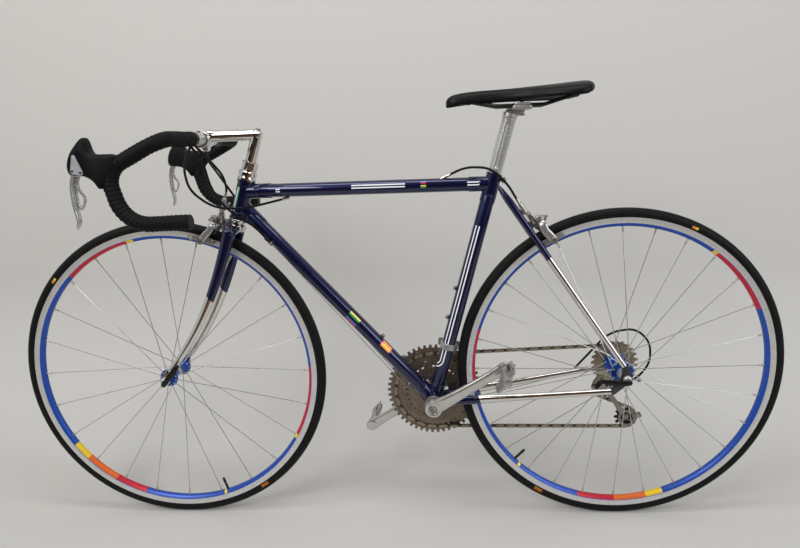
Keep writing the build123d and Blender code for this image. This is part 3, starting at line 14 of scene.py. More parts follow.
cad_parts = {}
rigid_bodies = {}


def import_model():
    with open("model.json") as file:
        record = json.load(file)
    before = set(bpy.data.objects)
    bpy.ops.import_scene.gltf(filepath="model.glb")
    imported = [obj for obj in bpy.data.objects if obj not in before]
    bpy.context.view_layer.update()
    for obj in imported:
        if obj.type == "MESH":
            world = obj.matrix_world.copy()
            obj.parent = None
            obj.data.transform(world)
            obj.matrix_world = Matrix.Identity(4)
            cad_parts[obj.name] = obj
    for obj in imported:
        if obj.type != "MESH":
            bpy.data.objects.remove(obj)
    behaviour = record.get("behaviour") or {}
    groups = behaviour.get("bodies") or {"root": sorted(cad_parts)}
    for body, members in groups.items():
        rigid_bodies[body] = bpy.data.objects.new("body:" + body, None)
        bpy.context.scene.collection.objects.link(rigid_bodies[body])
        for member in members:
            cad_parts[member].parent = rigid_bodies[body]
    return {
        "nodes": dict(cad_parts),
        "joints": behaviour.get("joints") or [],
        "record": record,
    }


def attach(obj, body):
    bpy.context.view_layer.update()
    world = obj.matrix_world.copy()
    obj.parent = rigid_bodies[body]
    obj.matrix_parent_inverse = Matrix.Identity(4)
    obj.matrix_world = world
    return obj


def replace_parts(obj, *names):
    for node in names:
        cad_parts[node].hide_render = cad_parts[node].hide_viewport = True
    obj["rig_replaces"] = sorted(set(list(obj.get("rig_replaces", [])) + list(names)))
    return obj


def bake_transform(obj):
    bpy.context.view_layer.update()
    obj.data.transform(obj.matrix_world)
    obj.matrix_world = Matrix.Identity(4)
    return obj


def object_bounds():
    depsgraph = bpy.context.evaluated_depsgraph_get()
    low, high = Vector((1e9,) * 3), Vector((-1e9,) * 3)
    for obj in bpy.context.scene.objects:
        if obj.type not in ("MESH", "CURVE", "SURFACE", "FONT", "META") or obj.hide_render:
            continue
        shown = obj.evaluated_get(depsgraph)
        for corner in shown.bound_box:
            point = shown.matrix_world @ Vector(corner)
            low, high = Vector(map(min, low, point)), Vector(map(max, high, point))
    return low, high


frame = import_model()
cad_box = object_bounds()
MM = 0.001

# ---- where the bicycle's axes are ----
# The two wheel axles, the bottom bracket and the pedals are where the moving joints turn;
# the head tube's line is the steering joint's.
joint = {j["name"]: j for j in frame["joints"]}
REAR_AXLE = np.array(joint["rear_wheel_spin"]["pos_m"])
FRONT_AXLE = np.array(joint["front_wheel_spin"]["pos_m"])
BB = np.array(joint["crank_spin"]["pos_m"])
HEAD_UP = np.array(joint["steering_turn"]["axis"], float)
HEAD_UP /= np.linalg.norm(HEAD_UP)
HEAD_AHEAD = np.array((HEAD_UP[2], 0.0, -HEAD_UP[0]))
LEFT = np.array((0.0, 1.0, 0.0))
SIDES = ((1, "left"), (-1, "right"))


def at(x, y, z):
    """The point x forward, y left and z up, in millimetres, from the middle of the rear axle."""
    return REAR_AXLE + np.array((x, y, z), float) * MM


def unit(v):
    """The array's last axis scaled to length one."""
    v = np.asarray(v, float)
    return v / np.linalg.norm(v, axis=-1, keepdims=True)


def head_axis(z):
    """Point of the steering axis at a height in millimetres above the axles."""
    foot = np.array(joint["steering_turn"]["pos_m"])
    return foot + HEAD_UP * ((REAR_AXLE[2] + z * MM - foot[2]) / HEAD_UP[2])


# ---- room, camera and light ----
# A pale floor under the tyres curves up into a pale wall behind the bicycle, as in a studio.
# Soft boxes stand high on the left and on the right, and the camera looks from the left side.
WALL_BEHIND = 0.62          # from the bicycle's middle plane to the wall
FLOOR_SWEEP = 0.42          # radius of the curve between the two
ROOM_HALF = 9.0
CAMERA_PLACE = (358.44, 1280.45, 476.50)    # from the rear axle, mm
CAMERA_TURN = (0.07123, 0.20564, -0.03673)     # yaw, pitch down and roll, radians
LENS = 28.378

scene = bpy.context.scene
scene.view_settings.view_transform = "Standard"


def principled(name, colour, roughness=0.5, metallic=0.0, **sockets):
    """New material with one Principled shader; returns the material, its tree and shader."""
    material = bpy.data.materials.new(name)
    material.use_nodes = True
    tree = material.node_tree
    shader = tree.nodes["Principled BSDF"]
    shader.inputs["Base Color"].default_value = (*colour, 1.0)
    shader.inputs["Roughness"].default_value = roughness
    shader.inputs["Metallic"].default_value = metallic
    for socket, value in sockets.items():
        shader.inputs[socket.replace("_", " ")].default_value = value
    return material, tree, shader


def node(tree, kind, **settings):
    """New shader node of a kind with its properties set, and the inputs named by input_ and their name."""
    made = tree.nodes.new("ShaderNode" + kind)
    for name, value in settings.items():
        if name.startswith("input_"):
            key = name[6:]
            made.inputs[int(key) if key.isdigit() else key].default_value = value
        else:
            setattr(made, name, value)
    return made


def connect(tree, source, output, target, socket):
    """Joins an output of one shader node to an input of another."""
    tree.links.new(source.outputs[output], target.inputs[socket])


def mix(tree, factor, a, b):
    """Output of a colour Mix node; a and b are colours or another node's output."""
    made = node(tree, "Mix", data_type="RGBA")
    for socket, value in (("A", a), ("B", b)):
        if isinstance(value, tuple):
            made.inputs[socket].default_value = (*value, 1)
        else:
            tree.links.new(value, made.inputs[socket])
    tree.links.new(factor, made.inputs["Factor"])
    return made.outputs["Result"]


def grid_faces(rows, columns, wrap_rows=False, wrap_columns=True):
    """Quads of a grid of points: each joins a point to the next in its row and in its column."""
    row = np.arange(rows if wrap_rows else rows - 1)[:, None]
    column = np.arange(columns if wrap_columns else columns - 1)[None, :]
    below, beside = (row + 1) % rows, (column + 1) % columns
    corners = (row * columns + column, below * columns + column, below * columns + beside,
        row * columns + beside)
    return np.stack(np.broadcast_arrays(*corners), -1).reshape(-1, 4)


def new_mesh(name, points, faces, uv=None, sharp=40.0, closed=True):
    """Object from an array of points and faces; uv gives each point two pattern coordinates in mm."""
    mesh = bpy.data.meshes.new(name)
    mesh.from_pydata(np.asarray(points, float).reshape(-1, 3).tolist(), [],
        faces.tolist() if isinstance(faces, np.ndarray) else faces)
    if uv is not None:
        layer = mesh.uv_layers.new(name="pattern")
        corner = np.empty(len(mesh.loops), np.int32)
        mesh.loops.foreach_get("vertex_index", corner)
        layer.data.foreach_set("uv", np.asarray(uv, np.float32).reshape(-1, 2)[corner].ravel())
    made = bpy.data.objects.new(name, mesh)
    scene.collection.objects.link(made)
    if closed:
        shell = bmesh.new()
        shell.from_mesh(mesh)
        bmesh.ops.remove_doubles(shell, verts=shell.verts, dist=2e-6)
        bmesh.ops.dissolve_degenerate(shell, edges=shell.edges, dist=1e-6)
        bmesh.ops.recalc_face_normals(shell, faces=shell.faces)
        shell.to_mesh(mesh)
        shell.free()
    mesh.shade_smooth()
    if sharp:
        mesh.set_sharp_from_angle(angle=math.radians(sharp))
    return made


floor_z = cad_box[0][2]
turn = np.linspace(0, math.pi / 2, 24)
sweep_y = np.concatenate(([ROOM_HALF], FLOOR_SWEEP - WALL_BEHIND - FLOOR_SWEEP * np.sin(turn),
    [-WALL_BEHIND]))
sweep_z = np.concatenate(([0.0], FLOOR_SWEEP * (1 - np.cos(turn)), [ROOM_HALF]))
room_points = np.array([(x, y, floor_z + z) for x in (ROOM_HALF, -ROOM_HALF) for y,
    z in zip(sweep_y, sweep_z)])
room = new_mesh("studio_floor", room_points, grid_faces(2, len(sweep_y), wrap_columns=False), closed=False)
room_paint, tree, shader = principled("pale_room", (0.53, 0.52, 0.495), 0.85)
room_paint.node_tree.nodes["Principled BSDF"].inputs["Specular IOR Level"].default_value = 0.2
room.data.materials.append(room_paint)

# Brown boards seen only in the chrome: a floor in front of the bicycle, a dark wall and a sloping top.
boards = ((0.95, floor_z + 0.004), (3.4, floor_z + 0.004), (3.4, 0.75), (1.6, 2.3))
for number, (low, high, colour) in enumerate(zip(boards, boards[1:],
        ((0.13, 0.070, 0.027), (0.05, 0.035, 0.028), (0.20, 0.10, 0.035)))):
    board_points = np.array([(x, y, z) for x in (-3.4, 3.4) for y, z in (low, high)])
    board = new_mesh(f"brown_board_{number}", board_points, grid_faces(2, 2, wrap_columns=False),
        closed=False)
    board.data.materials.append(principled(f"brown_paint_{number}", colour, 0.9)[0])
    board.visible_camera = board.visible_diffuse = board.visible_shadow = False

world = bpy.data.worlds.new("studio_air")
scene.world = world
world.use_nodes = True
world.node_tree.nodes["Background"].inputs["Color"].default_value = (0.86, 0.87, 0.90, 1)
world.node_tree.nodes["Background"].inputs["Strength"].default_value = 0.62


def soft_box(name, place, target, size, power, colour):
    """Area lamp at a place, facing a target."""
    lamp = bpy.data.lights.new(name, "AREA")
    lamp.shape = "RECTANGLE"
    lamp.size, lamp.size_y = size
    lamp.energy, lamp.color = power, colour
    made = bpy.data.objects.new(name, lamp)
    scene.collection.objects.link(made)
    made.location = place
    made.rotation_mode = "QUATERNION"
    made.rotation_quaternion = (Vector(target) - Vector(place)).to_track_quat("-Z", "Y")


soft_box("key_box", (1.6, 2.2, 1.5), (0.2, 0, -0.4), (1.6, 1.2), 46, (1.0, 0.98, 0.95))
soft_box("fill_box", (-2.0, 1.8, 0.6), (0.1, 0, -0.4), (1.4, 1.4), 22, (0.95, 0.97, 1.0))
soft_box("top_strip", (0.2, 0.5, 1.9), (0.2, 0, -0.3), (2.4, 0.5), 20, (1, 1, 1))

yaw, pitch, roll = CAMERA_TURN
tilt = Matrix.Rotation(yaw, 3, "Z") @ Matrix.Rotation(pitch, 3, "X") @ Matrix.Rotation(roll, 3, "Y")
right, upward, ahead = tilt @ Vector((-1, 0, 0)), tilt @ Vector((0, 0, 1)), tilt @ Vector((0, -1, 0))
lens = bpy.data.cameras.new("camera")
lens.sensor_width, lens.lens = 36.0, LENS
lens.clip_start = 0.05
camera = bpy.data.objects.new("camera", lens)
scene.collection.objects.link(camera)
camera.matrix_world = Matrix.Translation(Vector(at(*CAMERA_PLACE))) @ Matrix((right, upward,
    -ahead)).transposed().to_4x4()
scene.camera = camera

# ---- finishes of the frame ----
# Deep metallic blue enamel under clear lacquer, with white and coloured lines under the lacquer,
# and bright chrome plate on the tips of the stays and blades, where the enamel was masked.
POLISHED, SATIN_METALLIC = 0.1, 0.75    # roughness below which a metal is a mirror, and what the rest get


def metal(name, colour, roughness, scratch=0.15, grain=900.0, bump=0.0, patina=0.25, stretch=(1, 1, 1)):
    """Bare metal whose roughness and tone vary with fine marks and broad stains; a satin surface
    scatters part of its light."""
    material, tree, shader = principled(name, colour, roughness, 1.0 if roughness < POLISHED else
        SATIN_METALLIC)
    place = node(tree, "TexCoord")
    mapping = node(tree, "Mapping", input_Scale=stretch)
    connect(tree, place, "Object", mapping, "Vector")
    marks = node(tree, "TexNoise", input_Scale=grain, input_Detail=3.0)
    stains = node(tree, "TexNoise", input_Scale=45.0, input_Detail=4.0)
    for texture in (marks, stains):
        connect(tree, mapping, "Vector", texture, "Vector")
    gloss = node(tree, "MapRange", input_1=0.3, input_2=0.7, input_3=max(roughness - scratch / 2, 0.02),
        input_4=roughness + scratch)
    connect(tree, marks, "Fac", gloss, "Value")
    connect(tree, gloss, "Result", shader, "Roughness")
    stained = tuple(c * (1 - patina) for c in colour)
    tree.links.new(mix(tree, stains.outputs["Fac"], colour, stained), shader.inputs["Base Color"])
    if bump:
        relief = node(tree, "Bump", input_Strength=bump, input_Distance=0.0002)
        connect(tree, marks, "Fac", relief, "Height")
        connect(tree, relief, "Normal", shader, "Normal")
    return material


def math_node(tree, operation, *values):
    """Output of a Math node; a value is a number or another node's output."""
    made = node(tree, "Math", operation=operation)
    for socket, value in zip(made.inputs, values):
        if isinstance(value, (int, float)):
            socket.default_value = value
        else:
            tree.links.new(value, socket)
    return made.outputs[0]


def bar_mask(tree, s, v, along_tube, around):
    """1 inside a straight bar of paint, between two distances along the tube and two around it."""
    masks = [math_node(tree, "COMPARE", value, (low + high) / 2, (high - low) / 2) for value,
        (low, high) in ((s, along_tube), (v, around))]
    return math_node(tree, "MULTIPLY", *masks)


def hook_mask(tree, s, v, centre, radius, width, s_side, v_side):
    """1 inside a quarter ring of paint, on the given side of its centre along and around the tube."""
    ds = math_node(tree, "SUBTRACT", s, centre[0])
    dv = math_node(tree, "SUBTRACT", v, centre[1])
    squares = [math_node(tree, "POWER", math_node(tree, "ABSOLUTE", d), 2.0) for d in (ds, dv)]
    reach = math_node(tree, "SQRT", math_node(tree, "ADD", *squares))
    masks = [math_node(tree, "COMPARE", reach, radius, width / 2),
        math_node(tree, "GREATER_THAN", math_node(tree, "MULTIPLY", ds, float(s_side)), 0.0),
        math_node(tree, "GREATER_THAN", math_node(tree, "MULTIPLY", dv, float(v_side)), 0.0)]
    return math_node(tree, "MULTIPLY", math_node(tree, "MULTIPLY", *masks[:2]), masks[2])


BLUE = (0.0012, 0.0030, 0.030)
FLAKE = (0.003, 0.012, 0.13)
CHROME = (0.74, 0.72, 0.70)


def enamel(name, marks=(), plate=None):
    """Blue metallic enamel: flakes tint and tip the base coat, a clear coat covers it.

    marks are (mask function, its arguments, colour), read from the piece's pattern coordinates.
    plate is (point, direction): past the point the piece is chromed.
    """
    material, tree, shader = principled(name, BLUE, 0.32, 0.7, Coat_Weight=1.0, Coat_Roughness=0.025)
    place = node(tree, "TexCoord")
    flakes = node(tree, "TexVoronoi", input_Scale=2600.0)
    connect(tree, place, "Object", flakes, "Vector")
    tint = node(tree, "Mix", data_type="RGBA")
    tint.inputs["A"].default_value = (*BLUE, 1)
    tint.inputs["B"].default_value = (*FLAKE, 1)
    sparkle = math_node(tree, "POWER", math_node(tree, "ABSOLUTE", flakes.outputs["Color"]), 2.5)
    tree.links.new(sparkle, tint.inputs["Factor"])
    relief = node(tree, "Bump", input_Strength=0.05, input_Distance=0.0001)
    connect(tree, flakes, "Color", relief, "Height")
    connect(tree, relief, "Normal", shader, "Normal")
    colour, metallic = tint.outputs["Result"], None
    if marks:
        uv = node(tree, "UVMap", uv_map="pattern")
        split = node(tree, "SeparateXYZ")
        connect(tree, uv, "UV", split, "Vector")
        total = None
        for kind, arguments, paint in marks:
            mask = kind(tree, split.outputs["X"], split.outputs["Y"], *arguments)
            colour = mix(tree, mask, colour, paint)
            total = mask if total is None else math_node(tree, "MAXIMUM", total, mask)
        metallic = math_node(tree, "MULTIPLY", math_node(tree, "SUBTRACT", 1.0, total), 0.7)
    if plate:
        point, direction = plate
        split = node(tree, "SeparateXYZ")
        connect(tree, place, "Object", split, "Vector")
        depth = 0.0
        for axis, share in zip("XYZ", direction):
            if abs(share) > 1e-6:
                step = math_node(tree, "MULTIPLY", split.outputs[axis], float(share))
                depth = math_node(tree, "ADD", step, depth)
        past = math_node(tree, "GREATER_THAN", depth, float(np.dot(point, direction)))
        colour = mix(tree, past, colour, CHROME)
        gloss = node(tree, "MapRange", input_3=0.32, input_4=0.07)
        tree.links.new(past, gloss.inputs["Value"])
        connect(tree, gloss, "Result", shader, "Roughness")
        metallic = math_node(tree, "MAXIMUM", past, 0.7)
    tree.links.new(colour, shader.inputs["Base Color"])
    if metallic is not None:
        tree.links.new(metallic, shader.inputs["Metallic"])
    return material


chrome = metal("chrome_plate", CHROME, 0.06, scratch=0.06, patina=0.12)
alloy = metal("polished_alloy", (0.62, 0.62, 0.61), 0.2, scratch=0.14, patina=0.15)
satin_alloy = metal("satin_alloy", (0.52, 0.52, 0.515), 0.32, scratch=0.14, patina=0.2, bump=0.1)
steel = metal("worn_steel", (0.36, 0.34, 0.31), 0.34, scratch=0.2, patina=0.45, bump=0.15)
dark_steel = metal("dark_steel", (0.085, 0.085, 0.09), 0.36, scratch=0.2, patina=0.4, bump=0.1)

# ---- main tubes ----
# Plain round steel tubes, brazed into the lugs. The top, down and seat tubes carry white double
# lines and coloured bars, the same on both sides of the bicycle. The head tube carries a green
# stripe beside a white bar that is a painted highlight.
BB_UP = (BB - REAR_AXLE)[2] / MM
SEAT_UP = unit((-1 / math.tan(math.radians(74.5)), 0, 1))


def seat_axis(z):
    """Point of the seat tube's centre line at a height in millimetres above the axles."""
    return BB + SEAT_UP * ((z - BB_UP) * MM / SEAT_UP[2])


def full_turn(count):
    """Equally spaced angles round a whole turn."""
    return np.linspace(0, 2 * math.pi, count, endpoint=False)


def circle(radius, count=48):
    """Points of a circle, the first on the reference side."""
    turn = full_turn(count)
    return np.stack((np.cos(turn), np.sin(turn)), -1) * np.reshape(radius, (-1, 1, 1))


def sweep(path, profile, reference=LEFT, caps=True):
    """Carries a profile along a path: its first number goes towards the reference, its second
    towards the tangent crossed with that; the profile is one for all, or one for each point.
    With caps each end closes in to its middle."""
    path = np.asarray(path, float)
    tangent = unit(np.gradient(path, axis=0))
    across = unit(reference - (tangent @ reference)[:, None] * tangent)
    above = np.cross(tangent, across)
    profile = np.broadcast_to(profile, (len(path), *np.shape(profile)[-2:]))
    rings = path[:, None] + across[:, None] * profile[..., :1] + above[:, None] * profile[..., 1:]
    if caps:
        middles = np.broadcast_to(rings[[0, -1]].mean(1, keepdims=True), (2, *rings.shape[1:]))
        rings = np.concatenate((middles[:1], rings, middles[1:]))
    return rings


def fit(piece, body, material, slot, *stands_for):
    """Gives the piece its material; it moves with a body and stands for the CAD pieces named."""
    piece.data.materials.append(material)
    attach(piece, body)
    if stands_for:
        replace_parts(piece, *stands_for)
    return piece


def skin(name, grid, body, material, slot, *stands_for):
    """Closed piece from a swept grid, fitted as above."""
    return fit(new_mesh(name, grid, grid_faces(*grid.shape[:2])), body, material, slot, *stands_for)


def rod(name, start, end, radius, body, material, slot, *stands_for, end_radius=None, edge=0.0004, rows=2,
        count=48):
    """Round bar or taper between two points with rounded ends; pattern coordinates run along it
    and, from the side, up and down around it."""
    start, end = np.asarray(start, float), np.asarray(end, float)
    length = np.linalg.norm(end - start)
    end_radius = radius if end_radius is None else end_radius
    s = np.concatenate(([0.0, edge * 0.3], np.linspace(edge, length - edge, rows),
        [length - edge * 0.3, length]))
    inset = np.zeros(len(s))
    inset[[0, -1]], inset[[1, -2]] = edge, edge * 0.3
    r = radius + (end_radius - radius) * s / length - inset
    line = unit(end - start)
    reference = LEFT if abs(line[1]) < 0.9 else np.array((1.0, 0, 0))
    grid = sweep(start + line * s[:, None], circle(r, count), reference)
    turn = full_turn(count)
    around = np.arctan2(np.sin(turn), np.abs(np.cos(turn))) * radius / MM
    rows_s = np.concatenate(([0], s, [length])) / MM
    uv = np.stack(np.broadcast_arrays(rows_s[:, None], around[None]), -1)
    return fit(new_mesh(name, grid, grid_faces(*grid.shape[:2]), uv), body, material, slot, *stands_for)


WHITE = (0.78, 0.80, 0.84)
RED, YELLOW, GREEN, SKY = (0.55, 0.015, 0.02), (0.80, 0.62, 0.06), (0.02, 0.30, 0.07), (0.03, 0.10, 0.42)
GOLD, PINK = (0.90, 0.42, 0.03), (0.85, 0.12, 0.22)
LINE = 2.6                  # width of a white line, mm
TOP_TUBE_R, DOWN_TUBE_R, SEAT_TUBE_R, HEAD_TUBE_R = 0.014, 0.0143, 0.0143, 0.0162
TOP_TUBE_Z, HEAD_TOP_Z, HEAD_BOTTOM_Z, SEAT_TOP_Z = 389.5, 412.0, 334.0, 410.0

top_line = (seat_axis(TOP_TUBE_Z), head_axis(TOP_TUBE_Z))
down_line = (BB, head_axis(HEAD_BOTTOM_Z + 28))
seat_line = (BB, seat_axis(SEAT_TOP_Z))
top_marks = [(bar_mask, ((173.0, 281.0), (v - LINE / 2, v + LINE / 2)), WHITE) for v in (5.8, 0.4)]
top_marks += [(bar_mask, ((427.0, 436.0), (v - 1.1, v + 1.1)), WHITE) for v in (2.6, -2.2)]
top_marks += [(bar_mask, ((131.0, 142.0), (v - 1.2, v + 1.2)), paint) for v,
    paint in ((9.2, SKY), (6.4, RED), (0.8, YELLOW), (-2.2, GREEN))]
top_marks += [(bar_mask, ((30.0, 49.0), (v - LINE / 2, v + LINE / 2)), WHITE) for v in (5.0, -0.6)]
top_marks += [(hook_mask, ((30.0, 19.0), radius, LINE, -1, -1), WHITE) for radius in (14.0, 19.6)]
down_marks = [(bar_mask, ((233.0, 262.0), (v - 2.0, v + 2.0)), paint) for v,
    paint in ((8.8, YELLOW), (4.6, GREEN), (-5.0, SKY), (-9.2, RED))]
down_marks += [(bar_mask, ((142.0, 169.0), (3.0, 18.0)), PINK), (bar_mask, ((144.5, 166.5), (3.0, 16.5)),
    GOLD)]
seat_marks = [(bar_mask, ((92.0, 386.0), (v - LINE / 2, v + LINE / 2)), WHITE) for v in (-9.6, -2.6)]
seat_marks += [(hook_mask, ((92.0, -20.0), radius, LINE, -1, 1), WHITE) for radius in (10.4, 17.4)]
# On the head tube a green stripe runs beside a white bar; the white bar is a painted highlight.
head_stripe_and_highlight = [(bar_mask, ((8.0, 66.0), (-9.5, -6.5)), (0.05, 0.36, 0.16)),
    (bar_mask, ((8.0, 66.0), (-12.6, -9.6)), WHITE)]
rod("top_tube_steel", *top_line, TOP_TUBE_R, "frame", enamel("blue_top_tube", top_marks), "blue_frame",
    "top_tube", rows=4)
rod("down_tube_steel", *down_line, DOWN_TUBE_R, "frame", enamel("blue_down_tube", down_marks), "blue_frame",
    "down_tube", rows=4)
rod("seat_tube_steel", *seat_line, SEAT_TUBE_R, "frame", enamel("blue_seat_tube", seat_marks), "blue_frame",
    "seat_tube", rows=4)
rod("head_tube_steel", head_axis(HEAD_BOTTOM_Z), head_axis(HEAD_TOP_Z), HEAD_TUBE_R, "frame",
    enamel("blue_head_tube", head_stripe_and_highlight), "blue_frame", "head_tube", rows=4)

# ---- lugs ----
# Cast steel sockets that the tubes are brazed into. Each ends in a long point above and below its
# tube, with a round bay between them on the side, and its edge is filed thin.
blue_lugs = enamel("blue_lugs")
LUG_WALL = 0.0012


def lug(name, origin, toward, tube_r, tip, bay, start=0.0, wall=LUG_WALL, body="frame", square=False):
    """Sleeve round a tube: its edge lies at the bay's distance on the sides and swells to the tip
    above and below, as the fourth power of the sine; the skin turns in over a round edge."""
    origin, line = np.asarray(origin, float), unit(np.asarray(toward, float) - origin)
    turn = full_turn(96)
    edge = (bay + (tip - bay) * (0 if square else 1) * np.sin(turn) ** 4) * MM
    run = np.array((0.0, 0.5, 0.9, 1.0, 1.0, 1.0, 0.9, 0.5, 0.0))
    past = np.array((0, 0, -0.5, -0.5, 0.0, -0.5, -0.5, 0, 0)) * wall
    rise = np.array((1.0, 1.0, 1.0, 0.85, 0.3, -0.3, -0.3, -0.3, -0.3)) * wall
    reference = LEFT if abs(line[1]) < 0.9 else np.array((1.0, 0, 0))
    across = unit(reference - np.dot(line, reference) * line)
    above = np.cross(line, across)
    outward = across * np.cos(turn)[:, None] + above * np.sin(turn)[:, None]
    s = start * MM + run[:, None] * (edge - start * MM) + past[:, None]
    grid = origin + line * s[..., None] + outward * (tube_r + rise)[:, None, None]
    made = new_mesh(name, grid, grid_faces(*grid.shape[:2], wrap_rows=True), sharp=50)
    return fit(made, body, blue_lugs, "blue_frame")


def collar(name, centre_line, low, high, radius, wall, body="frame", material=None, slot="blue_frame"):
    """Plain band round a line between two distances in mm, with rounded edges."""
    return revolve(name, centre_line[0], unit(np.asarray(centre_line[1]) - centre_line[0]),
        np.array(((low, 0.0), (low, 0.7), (low + 0.4, 1.0), (high - 0.4, 1.0), (high, 0.7), (high, 0.0))) *
        (1, wall) + (0, radius), body, material or blue_lugs, slot)


def revolve(name, centre, axis, profile, body, material, slot, *stands_for, count=64, sharp=38.0, uv_r=None):
    """Turned piece: a closed profile of (distance along the axis, radius) in mm carried round it."""
    profile = np.asarray(profile, float)
    axis = unit(axis)
    side = np.array((1.0, 0, 0)) if abs(axis[0]) < 0.8 else LEFT
    side = unit(side - np.dot(side, axis) * axis)
    up = np.cross(axis, side)
    turn = full_turn(count)[:, None]
    outward = side * np.cos(turn) + up * np.sin(turn)
    grid = (np.asarray(centre) + outward[:, None] * profile[None, :, 1:] * MM + axis * profile[None, :, :1] *
        MM)
    uv = None
    if uv_r:
        uv = np.stack(np.broadcast_arrays(turn * uv_r, profile[None, :, 0]), -1)
    return fit(new_mesh(name, grid, grid_faces(*grid.shape[:2], wrap_rows=True), uv, sharp=sharp), body,
        material, slot, *stands_for)


lug("head_lug_upper", head_axis(TOP_TUBE_Z), top_line[0], TOP_TUBE_R, 58, 27, start=8)
lug("head_lug_lower", down_line[1], BB, DOWN_TUBE_R, 60, 29, start=8)
lug("head_lug_up", head_axis(HEAD_TOP_Z), head_axis(0), HEAD_TUBE_R, 26, 13)
lug("head_lug_down", head_axis(HEAD_BOTTOM_Z), head_axis(HEAD_TOP_Z), HEAD_TUBE_R, 28, 14,
    wall=LUG_WALL * 0.8)
lug("seat_lug_front", seat_axis(TOP_TUBE_Z), top_line[1], TOP_TUBE_R, 46, 25, start=8)
lug("seat_lug_down", seat_axis(SEAT_TOP_Z), BB, SEAT_TUBE_R, 60, 46)
lug("shell_lug_seat", BB, seat_line[1], SEAT_TUBE_R, 50, 34, start=12)
lug("shell_lug_down", BB, down_line[1], DOWN_TUBE_R, 52, 34, start=12)
for name, z, upward_side in (("head_ring_top", HEAD_TOP_Z, -1), ("head_ring_bottom", HEAD_BOTTOM_Z, 1)):
    collar(name, (head_axis(z), head_axis(z + upward_side * 10)), 0.0, 5.0, 16.2, 2.4)
collar("seat_lug_ring", (seat_axis(SEAT_TOP_Z), seat_axis(0)), 0.0, 4.0, 14.3, 2.0)
SHELL_PROFILE = ((-34, 17.3), (-34, 19.8), (-33.4, 20.4), (33.4, 20.4), (34, 19.8), (34, 17.3))
revolve("bottom_bracket_tube", BB, LEFT, SHELL_PROFILE, "frame", blue_lugs, "blue_frame",
    "bottom_bracket_shell")

# The ears behind the seat lug, with the bolt that pinches the seatpost
SEAT_BACK = np.array((-SEAT_UP[2], 0, SEAT_UP[0]))
binder = seat_axis(SEAT_TOP_Z) - SEAT_UP * 0.009 + SEAT_BACK * 0.0203
for side in (1, -1):
    rod(f"binder_ear_{'left' if side > 0 else 'right'}", binder + LEFT * side * 0.0012,
        binder + LEFT * side * 0.0095, 0.0056, "frame", blue_lugs, "blue_frame", edge=0.0012)
rod("binder_bolt", binder - LEFT * 0.0125, binder + LEFT * 0.0125, 0.0042, "frame", chrome, "chrome",
    edge=0.0008)
rod("binder_bolt_socket", binder + LEFT * 0.0118, binder + LEFT * 0.0129, 0.0024, "frame", dark_steel,
    "black_steel", edge=0.0002, count=6)

# ---- bottle cage screws ----
# Two screws on each of the down and seat tubes close the threaded bosses where a cage would sit.
for tube, line, low, side in (("down", down_line, 112.0, 1), ("seat", seat_line, 184.0, -1)):
    along_line = unit(line[1] - line[0])
    out = np.array((-along_line[2], 0, along_line[0])) * side
    for number in (0, 1):
        foot = line[0] + along_line * (low + 64.0 * number) * MM
        rod(f"{tube}_boss_{number}", foot + out * 0.012, foot + out * 0.0159, 0.0046, "frame", blue_lugs,
            "blue_frame", edge=0.0006)
        rod(f"{tube}_screw_washer_{number}", foot + out * 0.0158, foot + out * 0.0167, 0.0050, "frame",
            dark_steel, "black_steel", edge=0.0003)
        rod(f"{tube}_screw_{number}", foot + out * 0.0166, foot + out * 0.0208, 0.0038, "frame", steel,
            "steel", edge=0.0006)
        rod(f"{tube}_screw_key_{number}", foot + out * 0.0204, foot + out * 0.02085, 0.0018, "frame",
            dark_steel, "black_steel", edge=0.0002, count=6)

# ---- bottom bracket cups ----
# Turned steel cups with a flange each, screwed into the shell; the left one has a lock ring.
CUP_PROFILE = ((20, 9.2), (20, 17.2), (34.1, 17.2), (34.1, 19.3), (34.6, 19.6), (36.6, 19.6), (37.1, 19.2),
    (37.3, 17.6), (37.4, 14.5), (36.6, 14.0), (36.6, 9.2))
for side, name in SIDES:
    revolve(f"bracket_cup_{name}", BB, LEFT * side, CUP_PROFILE, "frame", steel, "black_steel",
        *(("bottom_bracket_cups",) if side > 0 else ()))

# ---- stays ----
# Thin tapered tubes from the bottom bracket and the seat lug to the rear dropouts. Their rear
# parts are chromed; the seatstays end above in long slanted caps on the sides of the lug.
STAY_END_Y = 68.0


def chainstay_line(side):
    """Front and rear ends of a chainstay's centre line."""
    return BB + np.array((-25.0, side * 20.0, 1.0)) * MM, at(30, side * STAY_END_Y, -27)


def seatstay_line(side):
    """Upper and lower ends of a seatstay's centre line."""
    upper = seat_axis(393.0) + SEAT_BACK * 0.008 + LEFT * side * 0.0196
    return upper, at(6, side * STAY_END_Y, 26)


